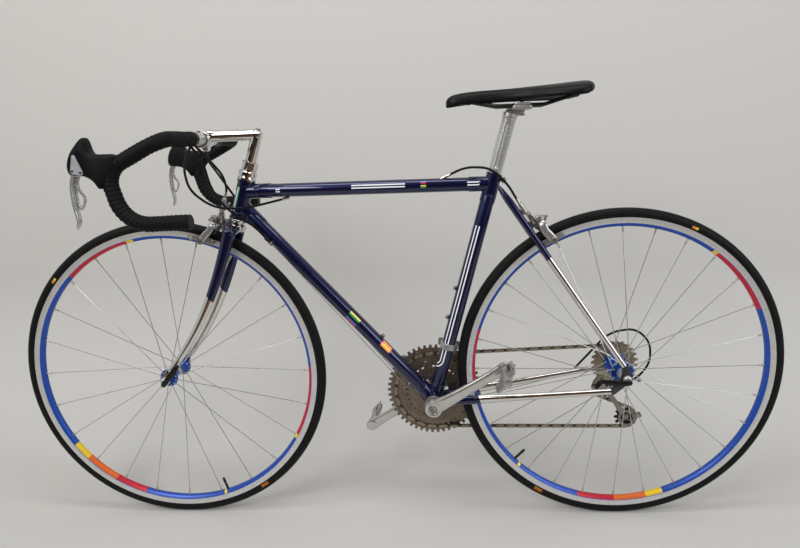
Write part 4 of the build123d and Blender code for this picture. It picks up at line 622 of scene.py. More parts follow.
for side, name in SIDES:
    front, rear = chainstay_line(side)
    line = unit(rear - front)
    mask_cut = unit(line + np.array((0, 0, 0.25)))
    stay = enamel(f"chainstay_finish_{name}", plate=(at(284, 0, -58), mask_cut))
    share = np.linspace(0, 1, 24)
    radius = 0.0086 + (0.0060 - 0.0086) * share
    flat = 1 - 0.16 * np.exp(-((share - 0.25) / 0.16) ** 2)
    grid = sweep(front + (rear - front) * share[:, None], circle(radius, 40) * np.stack((flat, 1 / flat),
        -1)[:, None])
    skin(f"chainstay_{name}", grid, "frame", stay, "blue_frame", *(("chainstays",) if side > 0 else ()))
    lug(f"shell_lug_stay_{name}", front - line * 0.024, rear, 0.0086, 42, 34, start=6)
    upper, lower = seatstay_line(side)
    line = unit(lower - upper)
    stay = enamel(f"seatstay_finish_{name}", plate=(at(153, 0, 233), unit(line - np.array((0.35, 0, 0)))))
    s = np.concatenate((np.linspace(0.008, 0.1, 8), np.linspace(0.2, 1, 16)))
    taper = 0.0072 + (0.0056 - 0.0072) * s
    slant = np.clip((s - 0.008) / 0.09, 0.02, 1) ** 0.5
    grid = sweep(upper + (lower - upper) * s[:, None], circle(taper * slant, 40))
    grid = grid - LEFT * side * (0.0062 * (1 - np.concatenate(([slant[0]], slant, [1]))))[:, None, None]
    skin(f"seatstay_{name}", grid, "frame", stay, "blue_frame", *(("seatstays",) if side > 0 else ()))
upper, lower = seatstay_line(0)
STAY_UP = unit((upper - lower) * (1, 0, 1))
STAY_BACK = np.array((-STAY_UP[2], 0, STAY_UP[0]))
offset = np.dot(lower - REAR_AXLE, STAY_BACK)
BRIDGE = lower * (1, 0, 1) + STAY_UP * (math.sqrt(0.351 ** 2 - offset ** 2) - np.dot(lower - REAR_AXLE,
    STAY_UP))
bridge_share = np.linalg.norm(BRIDGE - lower * (1, 0, 1)) / np.linalg.norm((upper - lower) * (1, 0, 1))
half = 0.068 + (0.0196 - 0.068) * bridge_share
rod("brake_bridge", BRIDGE - LEFT * half, BRIDGE + LEFT * half, 0.006, "frame", blue_lugs, "blue_frame",
    rows=3)
rod("chainstay_bridge", chainstay_line(1)[0] * (1, 0.0, 1) + np.array((-0.021, -0.019, 0)),
    chainstay_line(1)[0] * (1, 0.0, 1) + np.array((-0.021, 0.019, 0)), 0.005, "frame", blue_lugs,
    "blue_frame")

# ---- headset ----
# Chromed steel cups pressed into the head tube, the race on the fork's crown, and the threaded
# race and locknut above, with flats for a spanner.
FORK_RAKE = 62.0
RAKE_FOOT = FRONT_AXLE - HEAD_AHEAD * FORK_RAKE * MM


def fork_at(up, ahead, y=0.0):
    """Point measured in mm along the steering axis from beside the front axle, and ahead of it."""
    return RAKE_FOOT + HEAD_UP * up * MM + HEAD_AHEAD * ahead * MM + LEFT * y * MM


def fork_up(z):
    """Distance along the steering axis, in mm, at which it passes a height above the axles."""
    return np.linalg.norm(head_axis(z) - RAKE_FOOT) / MM


cup = np.array(((-8, 13.3), (-8, 14.6), (0, 14.6), (0, 18.1), (0.6, 18.7), (4.2, 18.7), (4.8, 17.9),
    (6.4, 17.7), (7.8, 16.6), (9.0, 16.2), (9.0, 13.3)))
revolve("headset_cup_upper", head_axis(HEAD_TOP_Z), HEAD_UP, cup, "frame", chrome, "chrome", "headset_cups")
revolve("headset_cup_lower", head_axis(HEAD_BOTTOM_Z), -HEAD_UP, cup, "frame", chrome, "chrome")
nut_foot = fork_at(fork_up(HEAD_TOP_Z) + 9.3, 0)
revolve("headset_screwed_race", nut_foot, HEAD_UP, ((0.2, 12.9), (0.2, 17.4), (1.0, 18.4), (8.4, 18.4),
    (9.4, 17.6), (9.9, 15.2), (12.6, 15.2), (12.6, 12.9)), "steering", chrome, "chrome", "headset_locknut")
revolve("headset_locknut_flats", nut_foot, HEAD_UP, ((12.7, 12.9), (12.7, 16.0), (13.3, 16.8), (28.0, 16.8),
    (29.0, 15.6), (29.0, 12.9)), "steering", chrome, "chrome", count=8, sharp=25)

# ---- fork ----
# Steel blades, oval above and tapering to the tips, bent forward in their lower part. The crown
# that holds them slopes down to each side. The lower half is chromed, the upper half blue.
CROWN_BOTTOM, CROWN_LEAN = 340.0, 3.5
RACE_TOP = fork_up(HEAD_BOTTOM_Z) - 9.3
CROWN_TOP = RACE_TOP - 7
blade_blue = enamel("blue_fork_blades", plate=(fork_at(197, 6), unit(-HEAD_UP + HEAD_AHEAD * 0.62)))


def blade_centre(share):
    """Blade's middle from crown (0) to tip (1): up the axis, ahead and to the side; the rake
    grows as the share's power 2.6."""
    return (CROWN_BOTTOM + (17 - CROWN_BOTTOM) * share, CROWN_LEAN + (FORK_RAKE - 3 - CROWN_LEAN) * share **
        2.6, 33.0 + 20.0 * share)


for side, name in SIDES:
    share = np.concatenate(([-0.03], np.linspace(0, 1, 44)))
    up, ahead, out = blade_centre(np.maximum(share, 0))
    up = up + np.where(share < 0, 8.0, 0.0)
    path = (RAKE_FOOT + HEAD_UP * up[:, None] * MM + HEAD_AHEAD * ahead[:, None] * MM + LEFT * side *
        out[:, None] * MM)
    s = np.maximum(share, 0)[:, None, None]
    oval = circle(MM, 48) * np.concatenate((9.0 - 3.25 * s, 13.5 - 7.25 * s ** 0.8), -1)
    tip = np.sqrt(np.clip((1.0 - share) / 0.018, 0.02, 1))[:, None, None]
    grid = sweep(path, oval * tip)
    skin(f"fork_blade_{name}", grid, "steering", blade_blue, "blue_frame", *(("fork",) if side > 0 else ()))
shoulder = np.linspace(-1, 1, 61)
across = 46.5 * np.sin(shoulder * math.pi / 2)
crown_top = 12.0 + 13.0 * np.exp(-(across / 17.0) ** 2)
depth = np.sqrt(np.clip(1 - (np.abs(across) - 31.0).clip(0) ** 2 / 15.5 ** 2, 0.001, 1)) * 15.2
turn = full_turn(40)
box = np.stack((np.cos(turn), np.sin(turn)), -1)
box = np.sign(box) * np.abs(box) ** 0.55
thick = crown_top / 2 * np.sqrt(np.clip(depth / 15.2, 0.05, 1))
grid = (fork_at(CROWN_BOTTOM, CROWN_LEAN) + LEFT * across[:, None, None] * MM + HEAD_AHEAD *
    (depth[:, None] * box[:, 0])[..., None] * MM + HEAD_UP * (thick[:, None] * (1 + box[:, 1]))[..., None] *
    MM)
fit(new_mesh("fork_crown", np.concatenate((grid[:1].mean(1, keepdims=True).repeat(40, 1), grid,
    grid[-1:].mean(1, keepdims=True).repeat(40, 1))), grid_faces(63, 40)), "steering", blue_lugs,
    "blue_frame")
revolve("fork_crown_race", fork_at(0, 0), HEAD_UP, ((CROWN_TOP - 8, 12.9), (CROWN_TOP - 8, 17.6),
    (CROWN_TOP + 1, 18.1), (CROWN_TOP + 3.5, 18.1), (CROWN_TOP + 4.3, 16.9), (RACE_TOP - 0.6, 16.4),
    (RACE_TOP, 12.9)), "steering", chrome, "chrome")
rod("fork_steerer", fork_at(CROWN_TOP, 0), nut_foot + HEAD_UP * 0.0195, 0.0127, "steering", steel, "steel")

# ---- shapes cut from plate ----
# The fork's slotted dropouts are thick steel plate, brazed into the blade tips.


def hull(discs, inset=0.0, count=96):
    """Outline that wraps tightly round discs (across, up, radius): in each direction it follows
    the disc that reaches furthest."""
    discs = np.asarray(discs, float)
    turn = full_turn(count)
    outward = np.stack((np.cos(turn), np.sin(turn)), -1)
    reach = outward @ discs[:, :2].T + discs[:, 2]
    far = np.argmax(reach, 1)
    return discs[far, :2] + outward * np.maximum(discs[far, 2:] - inset, 0.05)


def plate(name, origin, across, up, discs, low, high, body, material, slot, *stands_for, edge=0.8, dome=0.0):
    """Plate with the discs' outline in mm, between two distances along up crossed with across
    (or the rider's left for a plate seen from the side), with rounded edges and domed faces."""
    normal = np.cross(up, across)
    rows = [(low - dome, None), (low, edge), (low + edge * 0.3, edge * 0.3), (low + edge, 0.0),
        (high - edge, 0.0), (high - edge * 0.3, edge * 0.3), (high, edge), (high + dome, None)]
    middle = np.mean(hull(discs), 0)
    rings = [np.broadcast_to(middle, (96, 2)) if inset is None else hull(discs, inset) for _, inset in rows]
    grid = np.stack([np.asarray(origin) + ring[:, :1] * MM * across + ring[:, 1:] * MM * up + normal * depth
        * MM for (depth, _), ring in zip(rows, rings)])
    return fit(new_mesh(name, grid, grid_faces(len(rows), 96), sharp=30), body, material, slot, *stands_for)


AHEAD, UP = np.array((1.0, 0, 0)), np.array((0, 0, 1.0))
# With AHEAD across and UP up, distances run along the rider's left.
tip_up, tip_ahead, _ = blade_centre(1.0)
for side, name in SIDES:
    inner, outer = sorted((side * 50.0, side * 56.0))
    plate(f"fork_dropout_{name}", RAKE_FOOT, HEAD_AHEAD, HEAD_UP,
        [(tip_ahead, tip_up + 4, 5.5), (62, 0, 9.5)], inner, outer, "steering", chrome, "chrome")

# ---- stem and bar ----
# A chromed quill stem: its wedge bolt sits on top, its clamp holds the bar with one bolt below.
# The aluminium bar is bare in the middle.
STEM_Z, STEM_REACH = 497.0, 108.0
STEM_RISE = 5.2             # of the arm above the bar's centre
stem_back = head_axis(STEM_Z)
BAR = stem_back + AHEAD * STEM_REACH * MM
top_up = fork_up(STEM_Z)
revolve("stem_quill", fork_at(0, 0), HEAD_UP, ((431, 0.2), (431, 10.9), (431.4, 11.1), (top_up + 9, 11.1),
    (top_up + 12, 10.6), (top_up + 13.6, 9.2), (top_up + 14.2, 6.6), (top_up + 14.2, 0.2)), "steering",
    chrome, "chrome", "stem")
revolve("stem_wedge_bolt", fork_at(top_up + 13.6, 0), HEAD_UP, ((0, 0.1), (0, 5.4), (3.0, 5.4), (3.6, 4.8),
    (4.9, 2.9), (2.2, 2.6), (2.2, 0.1)), "steering", steel, "steel")
share = np.linspace(0, 1, 40)
swell = 11.4 + 0.9 * np.exp(-share / 0.06) + 2.6 * np.exp(-(1 - share) / 0.09)
grid = sweep(stem_back + UP * STEM_RISE * MM + AHEAD * (-7 + 103 * share[:, None]) * MM,
    circle(swell * MM, 48) * (0.97, 1.0))
skin("stem_arm", grid, "steering", chrome, "chrome")
revolve("stem_clamp", BAR, LEFT, ((-20, 12.75), (-20, 15.8), (-19.2, 16.8), (-17.5, 17.4), (17.5, 17.4),
    (19.2, 16.8), (20, 15.8), (20, 12.75)), "steering", chrome, "chrome")
plate("stem_clamp_ear", BAR, AHEAD, UP, [(-4, -19, 5.5), (0, -9, 8)], -8, 8, "steering", chrome, "chrome",
    edge=1.5)
rod("stem_clamp_bolt", BAR + (-0.004, -0.0098, -0.019), BAR + (-0.004, 0.0105, -0.019), 0.0042, "steering",
    steel, "steel")
rod("bar_middle", BAR - LEFT * 0.062, BAR + LEFT * 0.062, 0.0127, "steering", alloy, "alloy", "handlebar")
revolve("bar_sleeve", BAR, LEFT, ((-46, 12.6), (-44, 13.0), (44, 13.0), (46, 12.6)), "steering", alloy,
    "alloy")

# ---- bar tape ----
# Black padded tape, wound from the ends of the bar towards the stem: each turn laps half over the
# one before, is puckered inside the hook, and a finishing band closes it.


def matte(name, colour, roughness, grain, bump, coat=0.0, mottle=0.35):
    """Rubber, tape or plastic: a fine bump and slightly uneven colour and gloss."""
    material, tree, shader = principled(name, colour, roughness, Coat_Weight=coat, Coat_Roughness=0.25,
        Specular_IOR_Level=0.14)
    place = node(tree, "TexCoord")
    fine = node(tree, "TexNoise", input_Scale=grain, input_Detail=4.0)
    broad = node(tree, "TexNoise", input_Scale=60.0, input_Detail=3.0)
    for texture in (fine, broad):
        connect(tree, place, "Object", texture, "Vector")
    relief = node(tree, "Bump", input_Strength=bump, input_Distance=0.0003)
    connect(tree, fine, "Fac", relief, "Height")
    connect(tree, relief, "Normal", shader, "Normal")
    darker, lighter = (tuple(c * (1 + change) for c in colour) for change in (-mottle, mottle))
    tree.links.new(mix(tree, broad.outputs["Fac"], darker, lighter), shader.inputs["Base Color"])
    gloss = node(tree, "MapRange", input_3=roughness - 0.08, input_4=roughness + 0.1)
    connect(tree, broad, "Fac", gloss, "Value")
    connect(tree, gloss, "Result", shader, "Roughness")
    return material


def rounded_route(corners, radii=None, step=1.0):
    """Points every step along straight runs joined by arcs, all in mm from the corners' origin;
    without radii each arc is the largest that nearly uses up the shorter of its two runs."""
    corners = np.asarray(corners, float)
    points, here = [], corners[0]
    for index in range(1, len(corners) - 1):
        before, corner, after = corners[index - 1:index + 2]
        inward, outward = unit(corner - before), unit(after - corner)
        bend = math.acos(np.clip(inward @ outward, -1, 1))
        if radii is None:
            radius = 0.45 * min(np.linalg.norm(corner - before),
                np.linalg.norm(after - corner)) / math.tan(bend / 2)
        else:
            radius = radii[index - 1]
        begin = corner - inward * radius * math.tan(bend / 2)
        count = max(int(np.linalg.norm(begin - here) / step), 1)
        points.append(here + (begin - here) * (np.arange(count) / count)[:, None])
        turn = np.linspace(0, bend, max(int(radius * bend / step), 4))[:, None]
        sideways = unit(outward - (outward @ inward) * inward)
        points.append(begin + inward * radius * np.sin(turn) + sideways * radius * (1 - np.cos(turn)))
        points[-1] = points[-1][:-1]
        here = begin + inward * radius * math.sin(bend) + sideways * radius * (1 - math.cos(bend))
    count = max(int(np.linalg.norm(corners[-1] - here) / step), 1)
    points.append(here + (corners[-1] - here) * (np.arange(count + 1) / count)[:, None])
    return np.concatenate(points)


bar_tape = matte("bar_tape", (0.0040, 0.0040, 0.0048), 0.6, 1400.0, 0.5)
BAR_HALF, TAPE_R = 205.0, 13.7
for side, name in SIDES:
    route = rounded_route([(0, side * 62, 0), (0, side * BAR_HALF, 0), (104, side * BAR_HALF, -52),
        (78, side * (BAR_HALF + 2.5), -147), (-40, side * (BAR_HALF + 5), -143.5)], (38.0, 40.0, 60.0),
        step=0.75)
    run = np.concatenate(([0], np.cumsum(np.linalg.norm(np.diff(route, axis=0), axis=1))))
    turn = full_turn(56)
    wound = run[:, None] / 8.4 + side * turn[None] / (2 * math.pi) + 0.12 * np.sin(run / 31.0)[:, None]
    lap = wound - np.floor(wound)
    ridge = np.minimum(lap / 0.86, (1 - lap) / 0.14) ** 0.7
    pucker = 0.22 * np.sin(turn * 11 + run[:, None] * 0.7) * np.exp(-((run[:, None] - 330) / 70.0) ** 2)
    radius = TAPE_R - 0.9 + 1.25 * ridge + pucker + 0.15 * np.sin(run / 9.0)[:, None]
    end_fade = np.minimum(1, 0.35 + np.minimum(run, run[-1] - run) / 3.0)[:, None]
    circle_points = np.stack((np.cos(turn), np.sin(turn)), -1)[None] * (radius * end_fade)[..., None] * MM
    grid = sweep(BAR + route * MM, circle_points, unit((-0.35, side * 0.75, 0.55)))
    fit(new_mesh(f"bar_tape_{name}", grid, grid_faces(*grid.shape[:2]), sharp=0), "steering", bar_tape,
        "tape", f"taped_drop_{name}")
    revolve(f"bar_tape_band_{name}", BAR + LEFT * side * 0.062, LEFT * side,
        ((-3, 12.7), (-3, 13.9), (9, 14.4), (10, 13.6), (10, 12.7)), "steering",
        matte(f"finishing_tape_{name}", (0.012, 0.012, 0.013), 0.3, 300, 0.1), "tape")
    ending, direction = BAR + route[-1] * MM, unit(route[-1] - route[-3])
    revolve(f"bar_plug_{name}", ending, direction, ((-4, 0.2), (-4, 11), (-0.5, 11), (-0.5, 13.2),
        (0.6, 13.6), (1.8, 12.4), (2.4, 8), (2.6, 0.2)), "steering", matte(f"bar_plug_plastic_{name}",
        (0.015, 0.015, 0.016), 0.35, 500, 0.1), "plastic")

# ---- brake hoods ----
# Soft rubber covers over the brake lever bodies, with a tall horn in front; a grey plate with
# two screws covers the gear mechanism on the outer side.


def rounded_outline(corners, rounds=3):
    """Closed outline with its corners cut again and again, a quarter of each side at a time."""
    points = np.asarray(corners, float)
    for _ in range(rounds):
        after = np.roll(points, -1, 0)
        points = np.stack((0.75 * points + 0.25 * after, 0.25 * points + 0.75 * after), 1).reshape(-1, 2)
    return points


def pillow(name, origin, outline, half, rounding, body, material, slot, *stands_for, narrow=None, flat=0.6):
    """Solid with a side outline, as wide as half each way; its edges roll off by the rounding as
    a quarter ellipse. narrow(x, z) scales the width; the flat is the share left unrolled."""
    outline = np.asarray(outline, float)
    along_edge = np.roll(outline, -1, 0) - np.roll(outline, 1, 0)
    area = np.sum(outline[:, 0] * np.roll(outline[:, 1], -1) - outline[:, 1] * np.roll(outline[:, 0], -1))
    inward = unit(np.stack((-along_edge[:, 1], along_edge[:, 0]), -1)) * np.sign(area)
    roll = np.linspace(0, math.pi / 2, 8)
    levels = np.concatenate((-(flat + (1 - flat) * np.sin(roll[::-1])), flat + (1 - flat) * np.sin(roll)))
    insets = rounding * np.concatenate((1 - np.cos(roll[::-1]), 1 - np.cos(roll)))
    rings = outline + inward * insets[:, None, None]
    width = half * (np.ones(rings.shape[:2]) if narrow is None else narrow(rings[..., 0], rings[..., 1]))
    grid = np.stack((rings[..., 0], levels[:, None] * width, rings[..., 1]), -1) * MM + origin
    count = len(outline)
    faces = grid_faces(len(levels), count).tolist()
    faces += [list(range(count))[::-1], [(len(levels) - 1) * count + i for i in range(count)]]
    return fit(new_mesh(name, grid, faces, sharp=45), body, material, slot, *stands_for)


HOOD_OUTLINE = ((80, -22), (106, -22), (120, -22), (125, -15), (127, -2), (131, 8), (139, 5), (150, -7),
    (160, -20), (166, -38), (166, -50), (158, -58), (145, -57), (132, -61), (121, -69), (113, -84),
    (105, -76), (94, -62), (80, -44))
hood_rubber = matte("hood_rubber", (0.0045, 0.0045, 0.0052), 0.5, 2200.0, 0.25)
cover_plate = matte("lever_side_plate", (0.30, 0.30, 0.31), 0.38, 900.0, 0.1)
for side, name in SIDES:
    middle = BAR + LEFT * side * 0.206
    pillow(f"hood_{name}", middle, rounded_outline(HOOD_OUTLINE), 15.5, 5.5, "steering", hood_rubber,
        "rubber", f"brake_hood_{name}", narrow=lambda x, z: 1.0 - 0.22 * np.clip((z + 30) / 34, 0, 1),
        flat=0.35)
    plate(f"hood_side_plate_{name}", middle, AHEAD, UP, [(149, -25, 3.4), (140, -52, 4.8), (152, -49, 5.6)],
        *sorted((side * 12.0, side * 15.9)), "steering", cover_plate, "alloy", edge=0.9, dome=0.3)
    for number, (x, z) in enumerate(((154, -49), (139.5, -52))):
        rod(f"hood_screw_{name}_{number}", middle + np.array((x, side * 15.5, z)) * MM,
            middle + np.array((x, side * 16.6, z)) * MM, 0.0022, "steering", dark_steel, "black_steel",
            edge=0.0004, count=24)
    for number, back in enumerate((0, 5)):
        fold = rounded_route([(146 - back, 0, -15), (139 - back, 0, -36), (130 - back, 0, -55)], step=1.0)
        grid = sweep(middle + (fold + (0, side * 15.0, 0)) * MM, circle(0.0012, 12))
        skin(f"hood_fold_{name}_{number}", grid, "steering", hood_rubber, "rubber")

# ---- brake levers ----
# Cast and polished aluminium: a head that turns in the hood, a long curved blade for the brake
# and, behind it, a thin paddle for the gears.
LEVER_HEAD = ((146, -22), (159, -22), (167, -40), (168, -58), (140, -60))
LEVER_BLADE = ((158, -40, 4.0), (162, -58, 3.2), (165, -68, 3.2), (166.5, -83, 3.8), (166, -101, 3.8),
    (165, -116, 3.2), (163, -129, 3.0), (162.5, -139, 2.6), (168, -152, 1.8))
SHIFT_PADDLE = ((150, -50, 3.0), (158, -67, 2.4), (157.5, -80, 2.2), (149.5, -93, 1.9), (148.4, -101, 1.9),
    (152.5, -111, 1.9), (157, -118, 1.5))
PADDLE_BRANCH = ((159, -74, 1.8), (162, -87, 1.6), (160.5, -108, 1.6), (157, -118, 1.5))


def smooth(points, count):
    """Curve through rows of numbers, evenly stepped: each piece is the cubic whose ends have the
    slope between their neighbours."""
    points = np.asarray(points, float)
    padded = np.concatenate((2 * points[:1] - points[1:2], points, 2 * points[-1:] - points[-2:-1]))
    t = np.linspace(0, len(points) - 1, count)
    i = np.minimum(t.astype(int), len(points) - 2)
    f = (t - i)[:, None]
    a, b, c, d = (padded[i + k] for k in range(4))
    return 0.5 * (2 * b + (c - a) * f + (2 * a - 5 * b + 4 * c - d) * f ** 2 + (3 * b - a - 3 * c + d) * f **
        3)


def bent_blade(name, origin, stations, half, body, material, slot, *stands_for, power=0.7):
    """Blade whose side view wraps the stations (ahead, up, radius) and that is half wide each way;
    its section is a superellipse."""
    curve = smooth(stations, 60)
    ends = np.sqrt(np.clip(np.minimum(np.arange(60), np.arange(60)[::-1]) / 3.0, 0.03, 1))
    turn = full_turn(40)
    shape = np.stack((np.cos(turn), np.sin(turn)), -1)
    shape = np.sign(shape) * np.abs(shape) ** power
    profile = shape * np.stack((half * ends * curve[:, 2] / curve[:, 2].max() ** 0.5 / curve[:, 2] ** 0.5,
        curve[:, 2] * ends), -1)[:, None] * MM
    path = origin + np.stack((curve[:, 0], np.zeros(60), curve[:, 1]), -1) * MM
    grid = sweep(path, profile)
    return skin(name, grid, body, material, slot, *stands_for)


for side, name in SIDES:
    middle = BAR + LEFT * side * 0.206
    pillow(f"lever_head_{name}", middle, rounded_outline(LEVER_HEAD), 9.5, 2.5, "steering", alloy, "alloy",
        f"brake_lever_{name}")
    bent_blade(f"lever_blade_{name}", middle, LEVER_BLADE, 8.0, "steering", alloy, "alloy")
    bent_blade(f"lever_paddle_{name}", middle - LEFT * side * 0.003, SHIFT_PADDLE, 4.0, "steering", alloy,
        "alloy")
    bent_blade(f"lever_paddle_branch_{name}", middle - LEFT * side * 0.003, PADDLE_BRANCH, 2.6, "steering",
        alloy, "alloy")
    rod(f"lever_pivot_{name}", middle + (0.150, -0.0100, -0.036), middle + (0.150, 0.0100, -0.036), 0.003,
        "steering", steel, "steel", count=24)

# ---- seatpost ----
# Forged aluminium tube with flutes milled in its sides; the head and its two shoes clamp the
# saddle's rails with a bolt.
POST_TOP_Z, RAIL_Z = 524.0, 538.0
POST_TOP = seat_axis(POST_TOP_Z)
foot = seat_axis(SEAT_TOP_Z) - SEAT_UP * 0.074
length = np.linalg.norm(POST_TOP - foot)
s = np.concatenate(([0, 0.0004], np.linspace(0.0008, length - 0.016, 70),
    np.linspace(length - 0.015, length - 0.001, 16), [length - 0.0004, length]))
turn = full_turn(144)
height = s - 0.074
reach = np.clip((height - 0.010) / 0.006, 0, 1) * np.clip((length - 0.074 - 0.018 - height) / 0.006, 0, 1)
reach = np.sqrt(1 - (1 - reach) ** 2)
groove = sum(np.clip(1 - ((np.angle(np.exp(1j * (turn - place)))) / 0.16) ** 2, 0, 1) for place in
    (-0.2, 0.2, math.pi - 0.2, math.pi + 0.2))
radius = 13.6 - 1.1 * reach[:, None] * groove
radius += 1.2 * (1 / (1 + np.exp(-(s - (length - 0.0105)) / 0.0006)))[:, None]
radius -= np.where((s < 0.0002) | (s > length - 0.0002), 0.6, 0.0)[:, None]
grid = sweep(foot + SEAT_UP * s[:, None], np.stack((np.cos(turn), np.sin(turn)), -1) * radius[..., None] *
    MM)
skin("seatpost_tube", grid, "frame", alloy, "alloy", "seatpost")
CLAMP_X = 222.12 - 20.0
plate("seat_clamp_head", REAR_AXLE, AHEAD, UP, [(222.12, POST_TOP_Z, 11), (CLAMP_X, RAIL_Z - 7, 8)], -8, 8,
    "frame", satin_alloy, "alloy", "seat_clamp", edge=2.0)
for number, (low, high, grow) in enumerate(((-8, 0, 0), (0.2, 5.2, -3))):
    plate(f"seat_clamp_shoe_{number}", at(CLAMP_X, 0, RAIL_Z), AHEAD, LEFT,
        [(x, y, 5) for x in (-14 - grow, 14 + grow) for y in (-24, 24)], -high, -low, "frame", satin_alloy,
        "alloy", edge=1.6)
rod("seat_clamp_bolt", at(CLAMP_X - 2, 0, RAIL_Z - 17), at(CLAMP_X - 2, 0, RAIL_Z + 9), 0.0035, "frame",
    steel, "steel")
rod("seat_clamp_bolt_head", at(CLAMP_X - 2, 0, RAIL_Z - 19), at(CLAMP_X - 2, 0, RAIL_Z - 14), 0.0056,
    "frame", steel, "steel")

# ---- saddle ----
# A smooth black cover over foam and a plastic shell, narrow in front and broad behind, on two
# black steel rails that meet under the nose.
SADDLE = ((72.0, 46.0, 26.0, 36.0), (75.0, 54.0, 23.0, 39.0), (84.0, 69.0, 18.0, 41.0),
    (108.0, 74.0, 14.0, 39.8), (150.0, 62.0, 13.0, 36.8), (195.0, 38.0, 12.0, 34.8),
    (240.0, 25.0, 11.0, 33.2), (295.0, 20.0, 9.0, 30.2), (330.0, 17.5, 5.5, 25.6), (343.0, 12.5, 3.6, 19.5),
    (347.5, 6.0, 4.5, 13.0))
saddle_skin = matte("saddle_cover", (0.0040, 0.0040, 0.0048), 0.42, 2600.0, 0.12, coat=0.07)
stations = smooth(SADDLE, 120)
x, half, edge, crest = (stations[:, k:k + 1] for k in range(4))
turn = full_turn(72)
upper = turn < math.pi
bow = np.abs(np.sin(turn)) ** np.where(upper, 0.72, 0.9)
side_way = np.sign(np.cos(turn)) * np.abs(np.cos(turn)) ** 0.86
y = half * side_way * np.where(upper, 1.0, 0.985)
z = edge + np.where(upper, (crest - edge) * bow, 0.30 * (crest - edge) * bow - 2.2 * np.abs(np.cos(turn)) **
    6)
z = z - 2.0 * np.exp(-((x - 215) / 60.0) ** 2) * np.exp(-(y / 12.0) ** 2) * upper
grid = np.stack(np.broadcast_arrays(x, y, z + RAIL_Z), -1) * MM + REAR_AXLE
ends = np.repeat(grid[[0, -1]].mean(1, keepdims=True), 72, 1)
grid = np.concatenate((ends[:1], grid, ends[1:]))
fit(new_mesh("saddle_cover", grid, grid_faces(*grid.shape[:2]), sharp=60), "frame", saddle_skin,
    "saddle_skin", "saddle")
rail_black = metal("black_rails", (0.03, 0.03, 0.032), 0.3, scratch=0.2)
for side, name in SIDES:
    route = rounded_route([(92, side * 47, RAIL_Z + 19), (CLAMP_X - 42, side * 22, RAIL_Z),
        (CLAMP_X + 46, side * 22, RAIL_Z), (300, side * 4.5, RAIL_Z + 10), (312, side * 4.5, RAIL_Z + 10)],
        (16, 16, 16), step=2.0)
    grid = sweep(REAR_AXLE + route * MM, circle(0.0035, 24))
    skin(f"saddle_rail_{name}", grid, "frame", rail_black, "black_steel",
        *(("saddle_rails",) if side > 0 else ()))
plate("saddle_nose_socket", at(0, 0, RAIL_Z), AHEAD, UP, [(302, 10, 5), (322, 12, 6)], -11, 11, "frame",
    hood_rubber, "plastic", edge=2.0)
for side, name in SIDES:
    plate(f"saddle_rear_socket_{name}", at(0, side * 47, RAIL_Z), AHEAD, UP, [(86, 21, 6), (98, 19, 5.5)],
        -7, 7, "frame", hood_rubber, "plastic", edge=2.0)

# ---- tyres ----
# Narrow black racing tyres with a slick tread, a thin moulding line on each wall and one small
# orange and yellow patch by the valve.
TYRE_R, PATTERN_R = 334.0, 300.0


def turned_ring(name, centre, section, body, material, slot, *stands_for, count=288, sharp=38.0):
    """Ring about a line across the bicycle: a closed section of (radius, width) in mm carried
    round. Pattern: distance round the ring at its own radius of 300 mm, from ahead and upwards,
    and distance along the section."""
    section = np.asarray(section, float)
    turn = np.linspace(0, 2 * math.pi, count + 1)[:, None]
    grid = np.stack(np.broadcast_arrays(section[:, 0] * np.cos(turn), section[:, 1] + 0 * turn,
        section[:, 0] * np.sin(turn)), -1) * MM + centre
    girth = np.concatenate(([0], np.cumsum(np.linalg.norm(np.diff(section, axis=0), axis=1))))
    uv = np.stack(np.broadcast_arrays(turn * PATTERN_R, girth[None]), -1)
    made = new_mesh(name, grid, grid_faces(*grid.shape[:2]), uv, sharp=sharp)
    return fit(made, body, material, slot, *stands_for)


def arc(around, radius, start, stop, count):
    """Points of an arc in degrees, as (radius from the axle, width)."""
    turn = np.radians(np.linspace(start, stop, count))
    return np.stack((around[0] + radius * np.cos(turn), around[1] + radius * np.sin(turn)), -1)


def tyre_material(name, small_mark, bars):
    """Black rubber: the tread a little greyer than the walls, and two small coloured marks, at
    angles in degrees from straight ahead towards up, on each wall."""
    material = matte(name, (0.0055, 0.0055, 0.0062), 0.5, 1500.0, 0.3)
    tree = material.node_tree
    shader = tree.nodes["Principled BSDF"]
    colour = shader.inputs["Base Color"].links[0].from_socket
    uv = node(tree, "UVMap", uv_map="pattern")
    split = node(tree, "SeparateXYZ")
    connect(tree, uv, "UV", split, "Vector")
    small, bar = (math.radians(angle) * PATTERN_R for angle in (small_mark, bars))
    bands = [((0, 1900), (26.5, 31.5), (0.014, 0.014, 0.0155))]
    for v in (13.0, 45.0):
        bands += [((small - 7, small), (v - 2.4, v + 2.4), (0.62, 0.20, 0.02)),
            ((small, small + 5), (v - 2.4, v + 2.4), (0.60, 0.48, 0.04)),
            ((bar - 9, bar + 9), (v - 3.0, v - 1.0), (0.55, 0.17, 0.02)),
            ((bar - 9, bar + 9), (v + 0.6, v + 2.6), (0.55, 0.17, 0.02))]
    for along_ring, across, paint in bands:
        mask = bar_mask(tree, split.outputs["X"], split.outputs["Y"], along_ring, across)
        colour = mix(tree, mask, colour, paint)
    tree.links.new(colour, shader.inputs["Base Color"])
    return material


